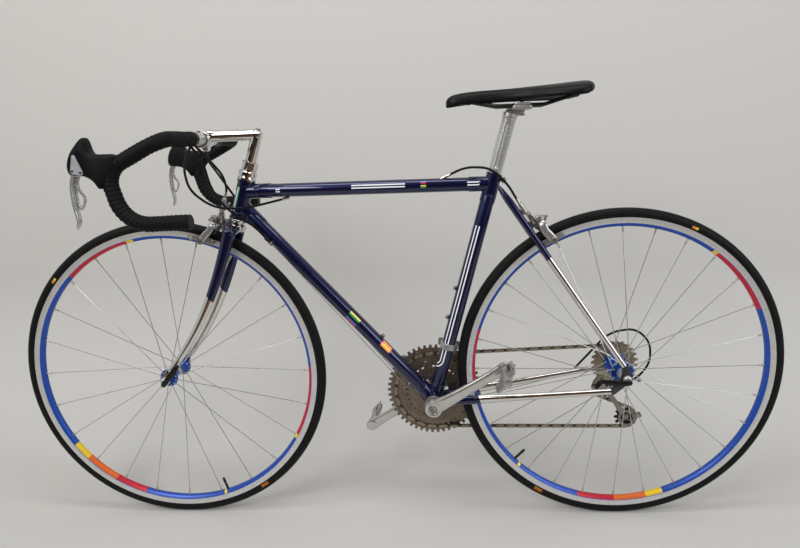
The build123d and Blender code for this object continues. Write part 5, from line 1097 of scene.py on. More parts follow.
tyre_middle = (TYRE_R - 11.5, 0.0)
tyre_section = np.concatenate((arc(tyre_middle, 11.5, -128, -62, 14), arc(tyre_middle, 11.62, -60, -57, 3),
    arc(tyre_middle, 11.5, -55, 55, 22), arc(tyre_middle, 11.62, 57, 60, 3),
    arc(tyre_middle, 11.5, 62, 128, 14)))
tyre_section = np.concatenate((tyre_section, tyre_section[:1]))
WHEELS = {"front": (FRONT_AXLE, 252.1, "front_wheel"), "rear": (REAR_AXLE, 315.6, "rear_wheel")}
TYRE_MARKS = {"front": (41.7, 235.7), "rear": (115.6, 300.6)}
for wheel, (axle, valve, body) in WHEELS.items():
    turned_ring(f"{wheel}_tyre_rubber", axle, tyre_section, body, tyre_material(f"{wheel}_tyre_black",
        *TYRE_MARKS[wheel]), "tyre", f"{wheel}_tyre", sharp=0)

# ---- rims ----
# Aluminium box rims: machined silver brake tracks, and a blue inner face with red and yellow
# patches. Nipples sit in the inner wall; the black valve stem points at the hub.


def rim_material(name, patches, split_at):
    """Silver metal with turned rings; past the split along the section it is painted blue, and
    patches (from and to in degrees, colour) lie on the blue, each side."""
    low, high = split_at
    material = metal(name, (0.63, 0.63, 0.62), 0.26, scratch=0.18, patina=0.2)
    tree = material.node_tree
    shader = tree.nodes["Principled BSDF"]
    colour = shader.inputs["Base Color"].links[0].from_socket
    uv = node(tree, "UVMap", uv_map="pattern")
    split = node(tree, "SeparateXYZ")
    connect(tree, uv, "UV", split, "Vector")
    s, v = split.outputs["X"], split.outputs["Y"]
    turned = node(tree, "TexNoise", noise_dimensions="1D", input_Scale=3.0, input_Detail=2.0)
    tree.links.new(v, turned.inputs["W"])
    relief = node(tree, "Bump", input_Strength=0.12, input_Distance=0.0001)
    connect(tree, turned, "Fac", relief, "Height")
    connect(tree, relief, "Normal", shader, "Normal")
    painted = bar_mask(tree, s, v, (-10, 1900), (low, high))
    bands = [(painted, (0.010, 0.062, 0.36))]
    for start, stop, paint in patches:
        inside = bar_mask(tree, s, v, (math.radians(start) * PATTERN_R, math.radians(stop) * PATTERN_R),
            (low + 1, high - 1))
        bands.append((inside, paint))
    for mask, paint in bands:
        colour = mix(tree, mask, colour, paint)
    tree.links.new(colour, shader.inputs["Base Color"])
    tree.links.new(math_node(tree, "SUBTRACT", 0.5, math_node(tree, "MULTIPLY", painted, 0.25)),
        shader.inputs["Metallic"])
    return material


rim_half = np.array(((314.6, 9.0), (315.3, 9.75), (304.6, 9.75), (303.9, 9.3), (303.4, 9.1), (298.2, 5.4),
    (297.3, 4.4), (297.0, 3.0)))
rim_section = np.concatenate((rim_half, rim_half[::-1] * (1, -1),
    [(312.0, -8.0), (309.0, -5.0), (309.0, 5.0), (312.0, 8.0)], rim_half[:1]))
girth = np.concatenate(([0], np.cumsum(np.linalg.norm(np.diff(rim_section, axis=0), axis=1))))
blue_span = (girth[3], girth[12])
RIM_RED, RIM_YELLOW, RIM_ORANGE = (0.50, 0.012, 0.03), (0.80, 0.55, 0.03), (0.70, 0.14, 0.02)
PATCHES = {"front": ((47, 76, RIM_RED), (76, 79, RIM_YELLOW), (178, 209, RIM_RED), (209, 211, RIM_YELLOW),
    (252.4, 253.6, RIM_YELLOW), (289, 303, RIM_RED), (303, 318, RIM_ORANGE), (318, 326, RIM_YELLOW)),
    "rear": ((352, 360, RIM_RED), (0, 17, RIM_RED), (126, 128, RIM_YELLOW), (128, 156, RIM_RED),
    (250, 257, RIM_YELLOW), (257, 270, RIM_ORANGE), (270, 285, RIM_RED), (312.4, 313.6, RIM_YELLOW))}
valve_rubber = matte("valve_black", (0.016, 0.016, 0.017), 0.42, 900.0, 0.2)
for wheel, (axle, valve, body) in WHEELS.items():
    turned_ring(f"{wheel}_rim_alloy", axle, rim_section, body, rim_material(f"{wheel}_rim_finish",
        PATCHES[wheel], blue_span), "rim_alloy", f"{wheel}_rim")
    inward = -np.array((math.cos(math.radians(valve)), 0, math.sin(math.radians(valve))))
    stem = axle - inward * 0.2975
    rod(f"{wheel}_valve_stem", stem, stem + inward * 0.020, 0.0029, body, valve_rubber, "black_steel",
        end_radius=0.0026, count=32)
    rod(f"{wheel}_valve_cap", stem + inward * 0.019, stem + inward * 0.029, 0.0032, body, valve_rubber,
        "black_steel", end_radius=0.0024, edge=0.0008, count=32)

# ---- spokes and hubs ----
# Round stainless spokes with brass nipples: radial in front, crossed behind. The hubs are turned
# from aluminium and anodised blue, with two flanges each.


def scatter(name, template, faces, turns, places, body, material, slot, *stands_for, sharp=40.0):
    """Copies of a template mesh, each turned by a 3 x 3 matrix and set in its place, as one mesh."""
    points = np.einsum("nij,pj->npi", turns, np.asarray(template, float)) + np.asarray(places)[:, None]
    faces = faces[None] + (np.arange(len(points)) * len(template))[:, None, None]
    made = new_mesh(name, points, faces.reshape(-1, 4), sharp=sharp)
    return fit(made, body, material, slot, *stands_for)


def turns_to(directions, reference=LEFT):
    """Matrices that carry the z axis onto each direction and keep x near the reference."""
    z = unit(directions)
    x = unit(reference - (z @ reference)[:, None] * z)
    return np.stack((x, np.cross(z, x), z), -1)


def pin_template(stations, count=12):
    """Turned pin along z: its stations are (distance, radius) in mm; returns points and faces."""
    turn = full_turn(count)
    grid = np.array([[(r * math.cos(a), r * math.sin(a), z) for a in turn] for z,
        r in [(stations[0][0], 0.0), *stations, (stations[-1][0], 0.0)]]) * MM
    return grid.reshape(-1, 3), grid_faces(len(grid), count)


def anodised(name, colour):
    """Dyed aluminium: clear colour over fine turning marks."""
    made = metal(name, colour, 0.24, scratch=0.16, patina=0.35, bump=0.08)
    made.node_tree.nodes["Principled BSDF"].inputs["Coat Weight"].default_value = 0.4
    return made


hub_blue = anodised("blue_hub", (0.012, 0.10, 0.48))
spoke_steel = metal("spoke_steel", (0.55, 0.55, 0.54), 0.22, scratch=0.15, patina=0.25)
brass = metal("nipple_brass", (0.55, 0.53, 0.48), 0.3, scratch=0.2, patina=0.3)
HUBS = {"front": (((-35.0, 19.0), (35.0, 19.0)), 12, 0.0), "rear": (((-20.0, 23.0), (37.0, 23.0)), 14, 1.5)}
for wheel, (axle, _, body) in WHEELS.items():
    flanges, per_side, crossing = HUBS[wheel]
    roots, ends, aways = [], [], []
    for number, (y, flange_r) in enumerate(flanges):
        spoke = np.arange(per_side)
        rim_turn = (spoke + 0.5 * number) * 2 * math.pi / per_side
        hub_turn = rim_turn + crossing * np.where(spoke % 2, 1, -1) * 2 * math.pi / per_side
        out = 2.0 * np.where(spoke % 2, 1, -1) * (1 if crossing else 0.0)
        roots.append(np.stack(((flange_r - 3) * np.cos(hub_turn), y + out,
            (flange_r - 3) * np.sin(hub_turn)), -1))
        ends.append(np.stack((298.5 * np.cos(rim_turn), 0 * rim_turn, 298.5 * np.sin(rim_turn)), -1))
        aways.append(np.where(out == 0, np.sign(y), np.sign(out)))
    roots, ends = (axle + np.concatenate(a) * MM for a in (roots, ends))
    length = np.linalg.norm(ends - roots, axis=1)
    template, faces = pin_template(((0, 0.95), (1000, 0.95)), 8)
    turns = turns_to(ends - roots)
    stretched = turns.copy()
    stretched[..., 2] *= length[:, None]
    scatter(f"{wheel}_spokes", template, faces, stretched, roots, body, spoke_steel, "steel")
    template, faces = pin_template(((-14, 1.4), (-13.6, 1.75), (-6, 1.95), (-1, 2.1), (0, 1.9)), 10)
    scatter(f"{wheel}_nipples", template, faces, turns, ends, body, brass, "steel")
    template, faces = pin_template(((-2.6, 1.3), (-2.4, 1.5), (2.2, 1.5), (3.2, 1.9), (3.7, 1.7),
        (3.9, 1.0)), 10)
    aside = np.concatenate(aways)[:, None] * LEFT
    heads = roots.copy()
    heads[:, 1] = axle[1] + np.repeat([y for y, _ in flanges], per_side) * MM
    scatter(f"{wheel}_spoke_heads", template, faces, turns_to(aside, AHEAD), heads, body, spoke_steel,
        "steel")
    (y0, r0), (y1, r1) = flanges
    profile = [(y0 - 1.6, 5.3), (y0 - 1.6, r0 - 1.0), (y0 - 1.0, r0), (y0 + 1.0, r0), (y0 + 1.6, r0 - 1.0),
        (y0 + 1.8, 15.0), (y0 + 4.0, 12.6), (y0 + 10, 11.2), ((y0 + y1) / 2 - 4, 10.2),
        ((y0 + y1) / 2 + 4, 10.2), (y1 - 10, 11.2), (y1 - 4.0, 12.6), (y1 - 1.8, 15.0), (y1 - 1.6, r1 - 1.0),
        (y1 - 1.0, r1), (y1 + 1.0, r1), (y1 + 1.6, r1 - 1.0), (y1 + 1.6, 5.3)]
    revolve(f"{wheel}_hub_shell", axle, LEFT, profile, body, hub_blue, "blue_anodised",
        f"{wheel}_hub_and_spokes", count=96, sharp=30)
    for side, (y, _) in zip((-1, 1), flanges):
        end = 44.0 if wheel == "front" else (59.0 if side > 0 else 23.5)
        revolve(f"{wheel}_hub_end_{'left' if side > 0 else 'right'}", axle, LEFT * side,
            ((abs(y) + 1.5, 5.3), (abs(y) + 1.5, 12.4), (end - 4.0, 11.0), (end - 1.4, 10.6), (end, 9.4),
            (end, 5.3)), body, hub_blue if wheel == "front" else satin_alloy, "blue_anodised", sharp=30)
    revolve(f"{wheel}_hub_band", axle, LEFT, (((y0 + y1) / 2 - 7, 9.8), ((y0 + y1) / 2 - 7, 10.6),
        ((y0 + y1) / 2 + 7, 10.6), ((y0 + y1) / 2 + 7, 9.8)), body, satin_alloy, "alloy", sharp=30)
revolve("freehub_body", REAR_AXLE, -LEFT, ((21.5, 5.3), (21.5, 13.0), (58.0, 13.0), (59.0, 12.0),
    (59.0, 5.3)), "rear_wheel", steel, "steel")

# ---- axles and quick releases ----
# Hollow steel axles with cones and serrated locknuts; a skewer through each clamps the dropouts
# with a cam and a curved black lever on the left and a round nut on the right.
lever_black = matte("lever_black", (0.006, 0.006, 0.007), 0.3, 900.0, 0.05, coat=0.3)
LEVER_PATHS = {"front": ((3, -9, 5.0), (-7, 3, 6.0), (-17, 15, 6.0), (-28, 28, 5.6), (-37, 39, 4.0)),
    "rear": ((-8, -4, 5.2), (5, -4.5, 5.8), (22, -4, 5.8), (41, -2, 5.4), (56, 0, 4.0))}
for wheel, spacing, body in (("front", 100.0, "steering"), ("rear", 130.0, "frame")):
    axle = WHEELS[wheel][0]
    face = spacing / 2 + 6
    revolve(f"{wheel}_axle_rod", axle, LEFT, ((-face, 0.2), (-face, 4.6), (face, 4.6), (face, 0.2)), body,
        steel, "steel", f"{wheel}_axle")
    for side, name in SIDES:
        revolve(f"{wheel}_axle_cone_{name}", axle, LEFT * side,
            ((spacing / 2 - 5, 4.7), (spacing / 2 - 5, 7.4), (spacing / 2 - 4.4, 8.0),
            (spacing / 2 - 0.5, 8.0), (spacing / 2, 7.5), (spacing / 2, 4.7)), body, dark_steel,
            "black_steel", sharp=30)
        revolve(f"{wheel}_skewer_cap_{name}", axle, LEFT * side,
            ((face, 1.0), (face, 8.2), (face + 0.8, 8.6), (face + 5.5, 8.4), (face + 8.0, 7.2),
            (face + 9.2, 5.0), (face + 9.6, 0.2)), body, alloy, "alloy")
    for number in range(3):
        revolve(f"{wheel}_skewer_groove_{number}", axle, -LEFT, [(face + 1.6 + number * 1.9 + a, r) for a,
            r in ((0, 8.2), (0.2, 8.75), (0.7, 8.75), (0.9, 8.2))], body, steel, "steel")
    revolve(f"{wheel}_skewer_end", axle, -LEFT, ((face + 9, 0.2), (face + 9, 3.6), (face + 14.4, 3.6),
        (face + 15, 3.0), (face + 15, 0.2)), body, steel, "steel", count=24)
    lever = smooth(LEVER_PATHS[wheel], 48)
    bulge = 1.8 * np.sin(np.linspace(0, math.pi, 48))
    ends = np.sqrt(np.clip(np.minimum(np.arange(48), np.arange(48)[::-1]) / 3.0, 0.03, 1))[:, None, None]
    path = axle + np.stack((lever[:, 0], face + 10.6 + bulge, lever[:, 1]), -1) * MM
    shape = circle(MM, 32) * np.concatenate((np.full((48, 1, 1), 2.3), lever[:, 2][:, None, None]),
        -1) * ends
    grid = sweep(path, shape)
    skin(f"{wheel}_skewer_lever", grid, body, lever_black, "black_steel")

# ---- rear dropouts ----
# Forged steel ends with a long slot for the axle and a fine adjusting screw behind each.
dropout_up = unit((seatstay_line(0)[0] - seatstay_line(0)[1]) * (1, 0, 1))
for side, name in SIDES:
    low, high = sorted((side * 65.0, side * 71.0))
    arms = [[(26, -27, 6.5), (0, 0, 10.5)], [(6 - dropout_up[0] * 4, 26 - dropout_up[2] * 4, 6),
        (0, 0, 10.5)]]
    if side < 0:
        arms.append([(0, 0, 10.5), (7, -27, 8)])
    for number, discs in enumerate(arms):
        plate(f"rear_dropout_{name}_{number}", REAR_AXLE, AHEAD, UP, discs, low, high, "frame", dark_steel,
            "chrome", *(("rear_dropouts",) if side > 0 and number == 0 else ()))
    screw = at(0, side * 68, 0)
    rod(f"rear_dropout_screw_{name}", screw + np.array((-9, 0, -1)) * MM, screw + np.array((-23, 0, -4)) *
        MM, 0.0014, "frame", steel, "steel", count=16)
    rod(f"rear_dropout_thumb_{name}", screw + np.array((-22, 0, -3.8)) * MM, screw + np.array((-27, 0, -4.8))
        * MM, 0.0030, "frame", steel, "steel", count=20)

# ---- cranks ----
# Forged and polished aluminium arms, broad at the spindle and slimmer towards the pedal, the
# right one with a spider of five arms that the chainrings are bolted to.
CRANK_TURN, CRANK_LENGTH = math.radians(32.5), 170.0


def pedal_eye(side):
    """Where a pedal's axle meets the bicycle's middle plane; side is 1 on the left."""
    return np.array(joint[("left" if side > 0 else "right") + "_pedal_spin"]["pos_m"]) * (1, 0, 1)


crank_steel = metal("polished_cranks", (0.60, 0.59, 0.57), 0.13, scratch=0.12, patina=0.2)
ARM = ((-0.02, 9.0, 46.0, 58.0), (0.02, 13.5, 44.5, 59.8), (0.09, 14.6, 45.5, 61.6),
    (0.18, 13.2, 50.0, 64.8), (0.32, 11.9, 55.0, 67.2), (0.5, 11.0, 57.0, 69.3), (0.65, 10.5, 58.5, 71.0),
    (0.8, 10.6, 60.3, 73.0), (0.93, 12.0, 62.2, 74.8), (1.0, 13.2, 62.5, 75.0), (1.07, 9.6, 62.7, 74.6),
    (1.085, 5.0, 63.5, 74.0))
for side, name in SIDES:
    eye = pedal_eye(side)
    line = unit(eye - BB)
    stations = smooth(ARM, 90)
    path = BB + line * CRANK_LENGTH * MM * stations[:, :1] + LEFT * side * stations[:, 2:].mean(1,
        keepdims=True) * MM
    turn = full_turn(56)
    box = np.stack((np.cos(turn), np.sin(turn)), -1)
    box = np.sign(box) * np.abs(box) ** 0.62
    profile = box * np.stack(((stations[:, 3] - stations[:, 2]) / 2, stations[:, 1]), -1)[:, None] * MM
    above = np.cross(line, LEFT)
    grid = path[:, None] + LEFT * profile[..., :1] + above * profile[..., 1:]
    ends = np.repeat(grid[[0, -1]].mean(1, keepdims=True), 56, 1)
    grid = np.concatenate((ends[:1], grid, ends[1:]))
    skin(f"crank_arm_{name}", grid, "crankset", crank_steel, "alloy", f"crank_{name}")
    revolve(f"crank_boss_{name}", BB, LEFT * side, ((40.6, 9.0), (40.6, 15.4), (42, 16.6), (60.4, 17.4),
        (61.6, 16.6), (62.2, 14.6), (61.4, 11.8), (59.6, 11.2), (57.5, 7.7), (57.0, 0.2), (50, 0.2)),
        "crankset", crank_steel, "alloy")
    revolve(f"crank_bolt_{name}", BB, LEFT * side, ((56.5, 0.2), (56.5, 7.4), (60.6, 7.4), (61.4, 6.8),
        (61.6, 4.4), (59.4, 4.0), (59.2, 0.2)), "crankset", steel, "steel",
        *(("crank_spindle",) if side > 0 else ()), count=36)
    revolve(f"crank_spindle_{name}", BB, LEFT * side, ((0, 0.2), (0, 8.5), (41, 8.5), (41, 0.2)), "crankset",
        steel, "steel")
    revolve(f"crank_eye_{name}", eye, LEFT * side, ((62.2, 0.2), (62.2, 10.8), (63, 12.6), (74, 13.4),
        (75, 12.8), (75.3, 10.4), (74.6, 8.8), (74.6, 0.2)), "crankset", crank_steel, "alloy")
ring_alloy = metal("worn_ring_alloy", (0.25, 0.20, 0.155), 0.36, scratch=0.25, patina=0.5, bump=0.2)
spider_turn = -CRANK_TURN + (np.arange(5) + 0.5) * 2 * math.pi / 5
for arm, angle in enumerate(spider_turn):
    reach = np.array((math.cos(angle), math.sin(angle)))
    plate(f"spider_arm_{arm}", BB, AHEAD, UP, [(0, 0, 13), (*(reach * 30), 9.0), (*(reach * 65), 6.8)],
        -51.0, -46.5, "crankset", crank_steel, "alloy", edge=1.4)
    tip = BB + (AHEAD * reach[0] + UP * reach[1]) * 0.065
    revolve(f"chainring_bolt_{arm}", tip, LEFT, ((-54.2, 0.2), (-54.2, 4.0), (-53.6, 4.8), (-43.6, 4.8),
        (-43.0, 4.0), (-43.0, 2.6), (-44.6, 2.4), (-44.6, 0.2)), "crankset", steel, "steel", count=24)
    low = BB + (AHEAD * reach[0] + UP * reach[1]) * 0.037
    revolve(f"inner_ring_bolt_{arm}", low, LEFT, ((-47, 0.2), (-47, 4.6), (-38.6, 4.6), (-37.6, 4.0),
        (-37.6, 2.4), (-39, 2.2), (-39, 0.2)), "crankset", steel, "steel", count=24)

# ---- chainrings ----
# Three rings of grey-brown aluminium, worn at the teeth. The chain rides on the middle one, and the
# largest carries lifting pins on its inner face.
PITCH = 12.7


def tooth_outline(teeth, rise, dip, points=16):
    """Radius and turn round a toothed wheel: the tooth's height is a clipped cosine wave."""
    radius = PITCH / 2 / math.sin(math.pi / teeth)
    turn = np.arange(teeth * points) * 2 * math.pi / (teeth * points)
    wave = np.clip(0.5 + 0.95 * np.cos(turn * teeth), 0, 1)
    wave = wave * wave * (3 - 2 * wave)
    return radius - dip + (rise + dip) * wave, turn


def toothed_wheel(name, centre, y, thickness, teeth, inner, body, material, slot, *stands_for, rise=3.4,
        dip=3.5, thinned=0.35):
    """Ring with teeth outside and a round hole; the tips are thinner than the ring."""
    outer, turn = tooth_outline(teeth, rise, dip)
    root = PITCH / 2 / math.sin(math.pi / teeth) - dip - 1.5
    half = thickness / 2
    rows = [(inner, half), (inner + 0.4, half), (root, half), (None, half * (1 - thinned)),
        (None, -half * (1 - thinned)), (root, -half), (inner + 0.4, -half), (inner, -half)]
    grid = np.stack([np.stack(((outer if r is None else r) * np.cos(turn), y + w + 0 * turn,
        (outer if r is None else r) * np.sin(turn)), -1) for r, w in rows]) * MM + centre
    return fit(new_mesh(name, grid, grid_faces(*grid.shape[:2], wrap_rows=True), sharp=30), body, material,
        slot, *stands_for)


toothed_wheel("chainring_large", BB, -52.0, 2.4, 50, 59, "crankset", ring_alloy, "dark_alloy", "chainrings")
toothed_wheel("chainring_middle", BB, -45.5, 2.2, 42, 59, "crankset", ring_alloy, "dark_alloy", rise=2.6,
    dip=4.6)
toothed_wheel("chainring_small", BB, -39.2, 2.2, 30, 32, "crankset", ring_alloy, "dark_alloy")
template, faces = pin_template(((-2.0, 1.8), (-1.8, 2.1), (1.6, 2.1), (2.4, 1.4)), 12)
pins = np.radians(np.arange(12) * 30.0 + 8)
places = BB + np.stack((92 * np.cos(pins), np.full(12, -50.4), 92 * np.sin(pins)), -1) * MM
scatter("chainring_pins", template, faces, turns_to(np.repeat(LEFT[None], 12, 0), AHEAD), places, "crankset",
    steel, "steel")
for ring, radius, y in (("large", 76, -52.0), ("large_step", 88, -52.0), ("middle", 71, -45.5)):
    revolve(f"chainring_{ring}_bead", BB, LEFT,
        [(y + a, radius + b) for a, b in ((-1.5, -1.2), (-1.5, 1.2), (1.5, 1.2), (1.5, -1.2))], "crankset",
        ring_alloy, "dark_alloy", count=128)

# ---- chain ----
# Roller chain of half-inch pitch: pairs of outer and inner plates in turn, pinned through rollers.
CHAIN_Y = -45.5


def wheel_r(teeth):
    """Pitch radius of a toothed wheel in mm."""
    return PITCH / 2 / math.sin(math.pi / teeth)


GUIDE_PULLEY, TENSION_PULLEY = at(16, 0, -63), at(-33, 0, -133)
CHAIN_WHEELS = ((BB, wheel_r(42), 1), (REAR_AXLE, wheel_r(16), 1), (GUIDE_PULLEY, wheel_r(11), -1),
    (TENSION_PULLEY, wheel_r(11), 1))


def chain_loop(step=0.25):
    """Points every step round the chain's pitch line: arcs round its wheels, joined by the
    straight lines that touch both; spin is 1 where it runs anticlockwise seen from the left."""
    flat = [(np.array((c[0], c[2])) / MM, r, s) for c, r, s in CHAIN_WHEELS]
    touching = []
    for (c0, r0, s0), (c1, r1, s1) in zip(flat, flat[1:] + flat[:1]):
        gap = c1 - c0
        travel = math.atan2(gap[1], gap[0]) + math.asin((s0 * r0 - s1 * r1) / np.linalg.norm(gap))
        touching.append((travel - s0 * math.pi / 2, travel - s1 * math.pi / 2))
    points = []
    for k, (centre, radius, spin) in enumerate(flat):
        start, stop = touching[k - 1][1], touching[k][0]
        sweep_angle = ((stop - start) * spin) % (2 * math.pi)
        turn = start + spin * np.linspace(0, sweep_angle, max(int(radius * sweep_angle / step), 2))
        points.append(centre + radius * np.stack((np.cos(turn), np.sin(turn)), -1))
        c1, r1, _ = flat[(k + 1) % len(flat)]
        arrive = c1 + r1 * np.array((math.cos(touching[k][1]), math.sin(touching[k][1])))
        count = max(int(np.linalg.norm(arrive - points[-1][-1]) / step), 2)
        points.append(points[-1][-1] + (arrive - points[-1][-1]) * np.linspace(0, 1, count)[1:-1, None])
    return np.concatenate(points)


loop = chain_loop()
steps = np.linalg.norm(np.roll(loop, -1, 0) - loop, axis=1)
run = np.concatenate(([0], np.cumsum(steps)))
LINKS = 2 * round(run[-1] / PITCH / 2)
pins = np.arange(LINKS) * run[-1] / LINKS
closed_loop = np.concatenate((loop, loop[:1]))
pin_x, pin_z = (np.interp(pins, run, closed_loop[:, k]) for k in (0, 1))
pin_places = np.stack((pin_x, np.full(LINKS, 0.0), pin_z), -1) * MM
link_line = np.roll(pin_places, -1, 0) - pin_places
middles = pin_places + link_line / 2


def link_template(half_width, thickness, reach):
    """Pair of figure-of-eight plates either side of the chain's middle, as points and quads; z
    runs along the link and y across the chain."""
    turn = full_turn(28)
    z = (reach / 2 + 4.1) * np.cos(turn)
    x = np.sin(turn) * (4.3 - 1.9 * np.exp(-(z / 2.8) ** 2))
    parts, quads = [], []
    for side in (1, -1):
        inner, outer = side * (half_width - thickness), side * half_width
        rings = [(0.0, inner), (0.93, inner), (1.0, inner + side * 0.2), (1.0, outer - side * 0.25),
            (0.9, outer), (0.0, outer)]
        parts.append(np.stack([np.stack((x * f, np.full(28, y), z * f), -1) for f, y in rings]).reshape(-1,
            3))
        quads.append(grid_faces(6, 28) + len(quads) * 168)
    return np.concatenate(parts) * MM, np.concatenate(quads)


chain_steel = metal("chain_steel", (0.36, 0.31, 0.24), 0.3, scratch=0.22, patina=0.45)
inner_steel = metal("inner_plate_steel", (0.06, 0.052, 0.042), 0.4, scratch=0.2, patina=0.5)
z_line = unit(link_line)
turns = np.stack((np.cross(LEFT, z_line), np.repeat(LEFT[None], LINKS, 0), z_line), -1)
for name, first, width, plate_steel in (("outer", 0, 3.45, chain_steel), ("inner", 1, 2.45, inner_steel)):
    template, faces = link_template(width, 0.95, PITCH)
    scatter(f"chain_{name}_plates", template, faces, turns[first::2], middles[first::2] + LEFT * CHAIN_Y *
        MM, "frame", plate_steel, "dark_alloy", *(("chain",) if first == 0 else ()))
template, faces = pin_template(((-3.75, 1.5), (-3.55, 1.8), (-2.2, 1.8), (-1.6, 3.9), (1.6, 3.9), (2.2, 1.8),
    (3.55, 1.8), (3.75, 1.5)), 16)
scatter("chain_rollers", template, faces, turns_to(np.repeat(LEFT[None], LINKS, 0), AHEAD),
    pin_places + LEFT * CHAIN_Y * MM, "frame", chain_steel, "dark_alloy")

# ---- cassette and pulleys ----
# Eight steel sprockets on the freehub, closed by a lock ring; the derailleur's two pulleys are
# black plastic on steel bushes.
TEETH = (12, 13, 14, 16, 17, 19, 21, 23)
for index, teeth in enumerate(TEETH):
    y = CHAIN_Y - (3 - index) * 4.8
    toothed_wheel(f"sprocket_{teeth}", REAR_AXLE, y, 1.8, teeth, 13.2, "rear_wheel", chain_steel, "steel",
        *(("cassette",) if index == 0 else ()), rise=2.6, dip=4.4)
revolve("cassette_spacers", REAR_AXLE, LEFT, ((CHAIN_Y - 14.4, 13.2), (CHAIN_Y - 14.4, 17),
    (CHAIN_Y + 19.2, 17), (CHAIN_Y + 19.2, 13.2)), "rear_wheel", dark_steel, "black_steel")
revolve("cassette_lock_ring", REAR_AXLE, -LEFT, ((60.4, 9.0), (60.4, 17.4), (61.0, 18.0), (62.0, 17.6),
    (62.4, 14.0), (61.6, 9.0)), "rear_wheel", steel, "steel")
pulley_black = matte("pulley_plastic", (0.016, 0.016, 0.017), 0.42, 800.0, 0.15)
for number, centre in enumerate((GUIDE_PULLEY, TENSION_PULLEY)):
    toothed_wheel(f"pulley_{number}", centre, CHAIN_Y, 2.4, 11, 6.0, "frame", pulley_black, "plastic",
        *(("derailleur_pulleys",) if number == 0 else ()), rise=1.8, dip=4.6)
    revolve(f"pulley_bush_{number}", centre, LEFT, ((CHAIN_Y - 4, 2.9), (CHAIN_Y - 4, 6.6),
        (CHAIN_Y + 4, 6.6), (CHAIN_Y + 4, 2.9)), "frame", steel, "steel", count=36)

# ---- pedals ----
# Small clipless pedals: a forged body turns on a tapered axle, with a hooked plate in front and a
# sprung jaw behind; free, they hang with the front edge down.
PEDAL_HANG = math.radians(58.0)
pedal_alloy = metal("pedal_alloy", (0.50, 0.50, 0.49), 0.24, scratch=0.2, patina=0.3)
hang_ahead = np.array((math.cos(PEDAL_HANG), 0, -math.sin(PEDAL_HANG)))
hang_up = np.array((math.sin(PEDAL_HANG), 0, math.cos(PEDAL_HANG)))
for side, name in SIDES:
    eye = pedal_eye(side)
    body = f"pedal_{name}"
    revolve(f"pedal_axle_{name}", eye, LEFT * side, ((74, 0.2), (74, 8.2), (75.2, 8.6), (78.4, 8.6),
        (79, 8.0), (79, 5.0), (142, 4.8), (142, 0.2)), "crankset", steel, "steel",
        *(("pedal_axles",) if side > 0 else ()), count=40)
    revolve(f"pedal_barrel_{name}", eye, LEFT * side, ((80, 5.5), (80, 9.4), (80.8, 10.0), (93, 10.0),
        (96, 8.6), (132, 8.4), (136, 9.6), (147, 9.6), (149.4, 8.0), (150, 5.4), (150, 0.2), (144.2, 0.2),
        (144.2, 5.5)), body, pedal_alloy, "alloy", f"pedal_{name}")
    inner, outer = sorted((side * 97.0, side * 139.0))
    for part, discs, low, high in (("toe", [(8, 0, 5.2), (21, -1, 4.0), (30, 1.5, 2.6)], inner + 4,
            outer - 4), ("heel", [(-8, 0, 5.6), (-19, 0, 5.2), (-27, 3.5, 3.0)], inner + 2, outer - 2),
            ("cage_inner", [(-20, 0, 3.2), (0, 0, 6.6), (20, 0, 3.2)], inner - 1, inner + 4),
            ("cage_outer", [(-20, 0, 3.2), (0, 0, 6.6), (20, 0, 3.2)], outer - 4, outer + 1)):
        plate(f"pedal_{part}_{name}", eye, hang_ahead, hang_up, discs, low, high, body, pedal_alloy, "alloy",
            edge=1.4)
    spring = eye + hang_ahead * -0.019 + hang_up * 0.001
    revolve(f"pedal_spring_{name}", spring, LEFT,
        [(inner + 6 + k * 2.2 + a, 5.6 + r) for k in range(int((outer - inner - 12) / 2.2)) for a,
        r in ((0.0, 0.0), (0.5, 0.9), (1.1, 1.1), (1.7, 0.9))] + [(outer - 6, 0.2), (inner + 6, 0.2)], body,
        dark_steel, "black_steel", count=32)
    screw = spring + LEFT * (inner + outer) / 2 * MM
    rod(f"pedal_screw_{name}", screw - hang_ahead * 0.006, screw - hang_ahead * 0.0115, 0.003, body, steel,
        "steel", count=20)

# ---- brakes ----
# Side-pull callipers of forged and polished aluminium: two arms cross on one bolt and bend down past
# the tyre to rubber pads in metal shoes. The cable's adjuster stands on the left arm.
brake_alloy = metal("polished_brake_arms", (0.52, 0.52, 0.51), 0.2, scratch=0.16, patina=0.3)
pad_rubber = matte("brake_pad_rubber", (0.007, 0.007, 0.008), 0.6, 700.0, 0.3)
BRAKES = (("front", fork_at(351.0, 20.2), HEAD_AHEAD, HEAD_UP, FRONT_AXLE, 36.0, 6.9, "steering"),
    ("rear", BRIDGE + STAY_BACK * 0.006, STAY_BACK, STAY_UP, REAR_AXLE, 22.0, 8.2, "frame"))


def forging(name, points, halves, toward, body, material, slot, *stands_for, power=0.72, count=56):
    """Solid carried along the smooth curve through the points: its section is a superellipse whose
    first half, in mm, lies towards the direction given; both ends are rounded."""
    path, halves = smooth(points, count), smooth(halves, count)
    turn = full_turn(40)
    section = np.stack((np.cos(turn), np.sin(turn)), -1)
    section = np.sign(section) * np.abs(section) ** power
    ends = np.sqrt(np.clip(np.minimum(np.arange(count), np.arange(count)[::-1]) / 3.5, 0.03, 1))
    grid = sweep(path, section * (halves * ends[:, None])[:, None] * MM, toward)
    return skin(name, grid, body, material, slot, *stands_for)


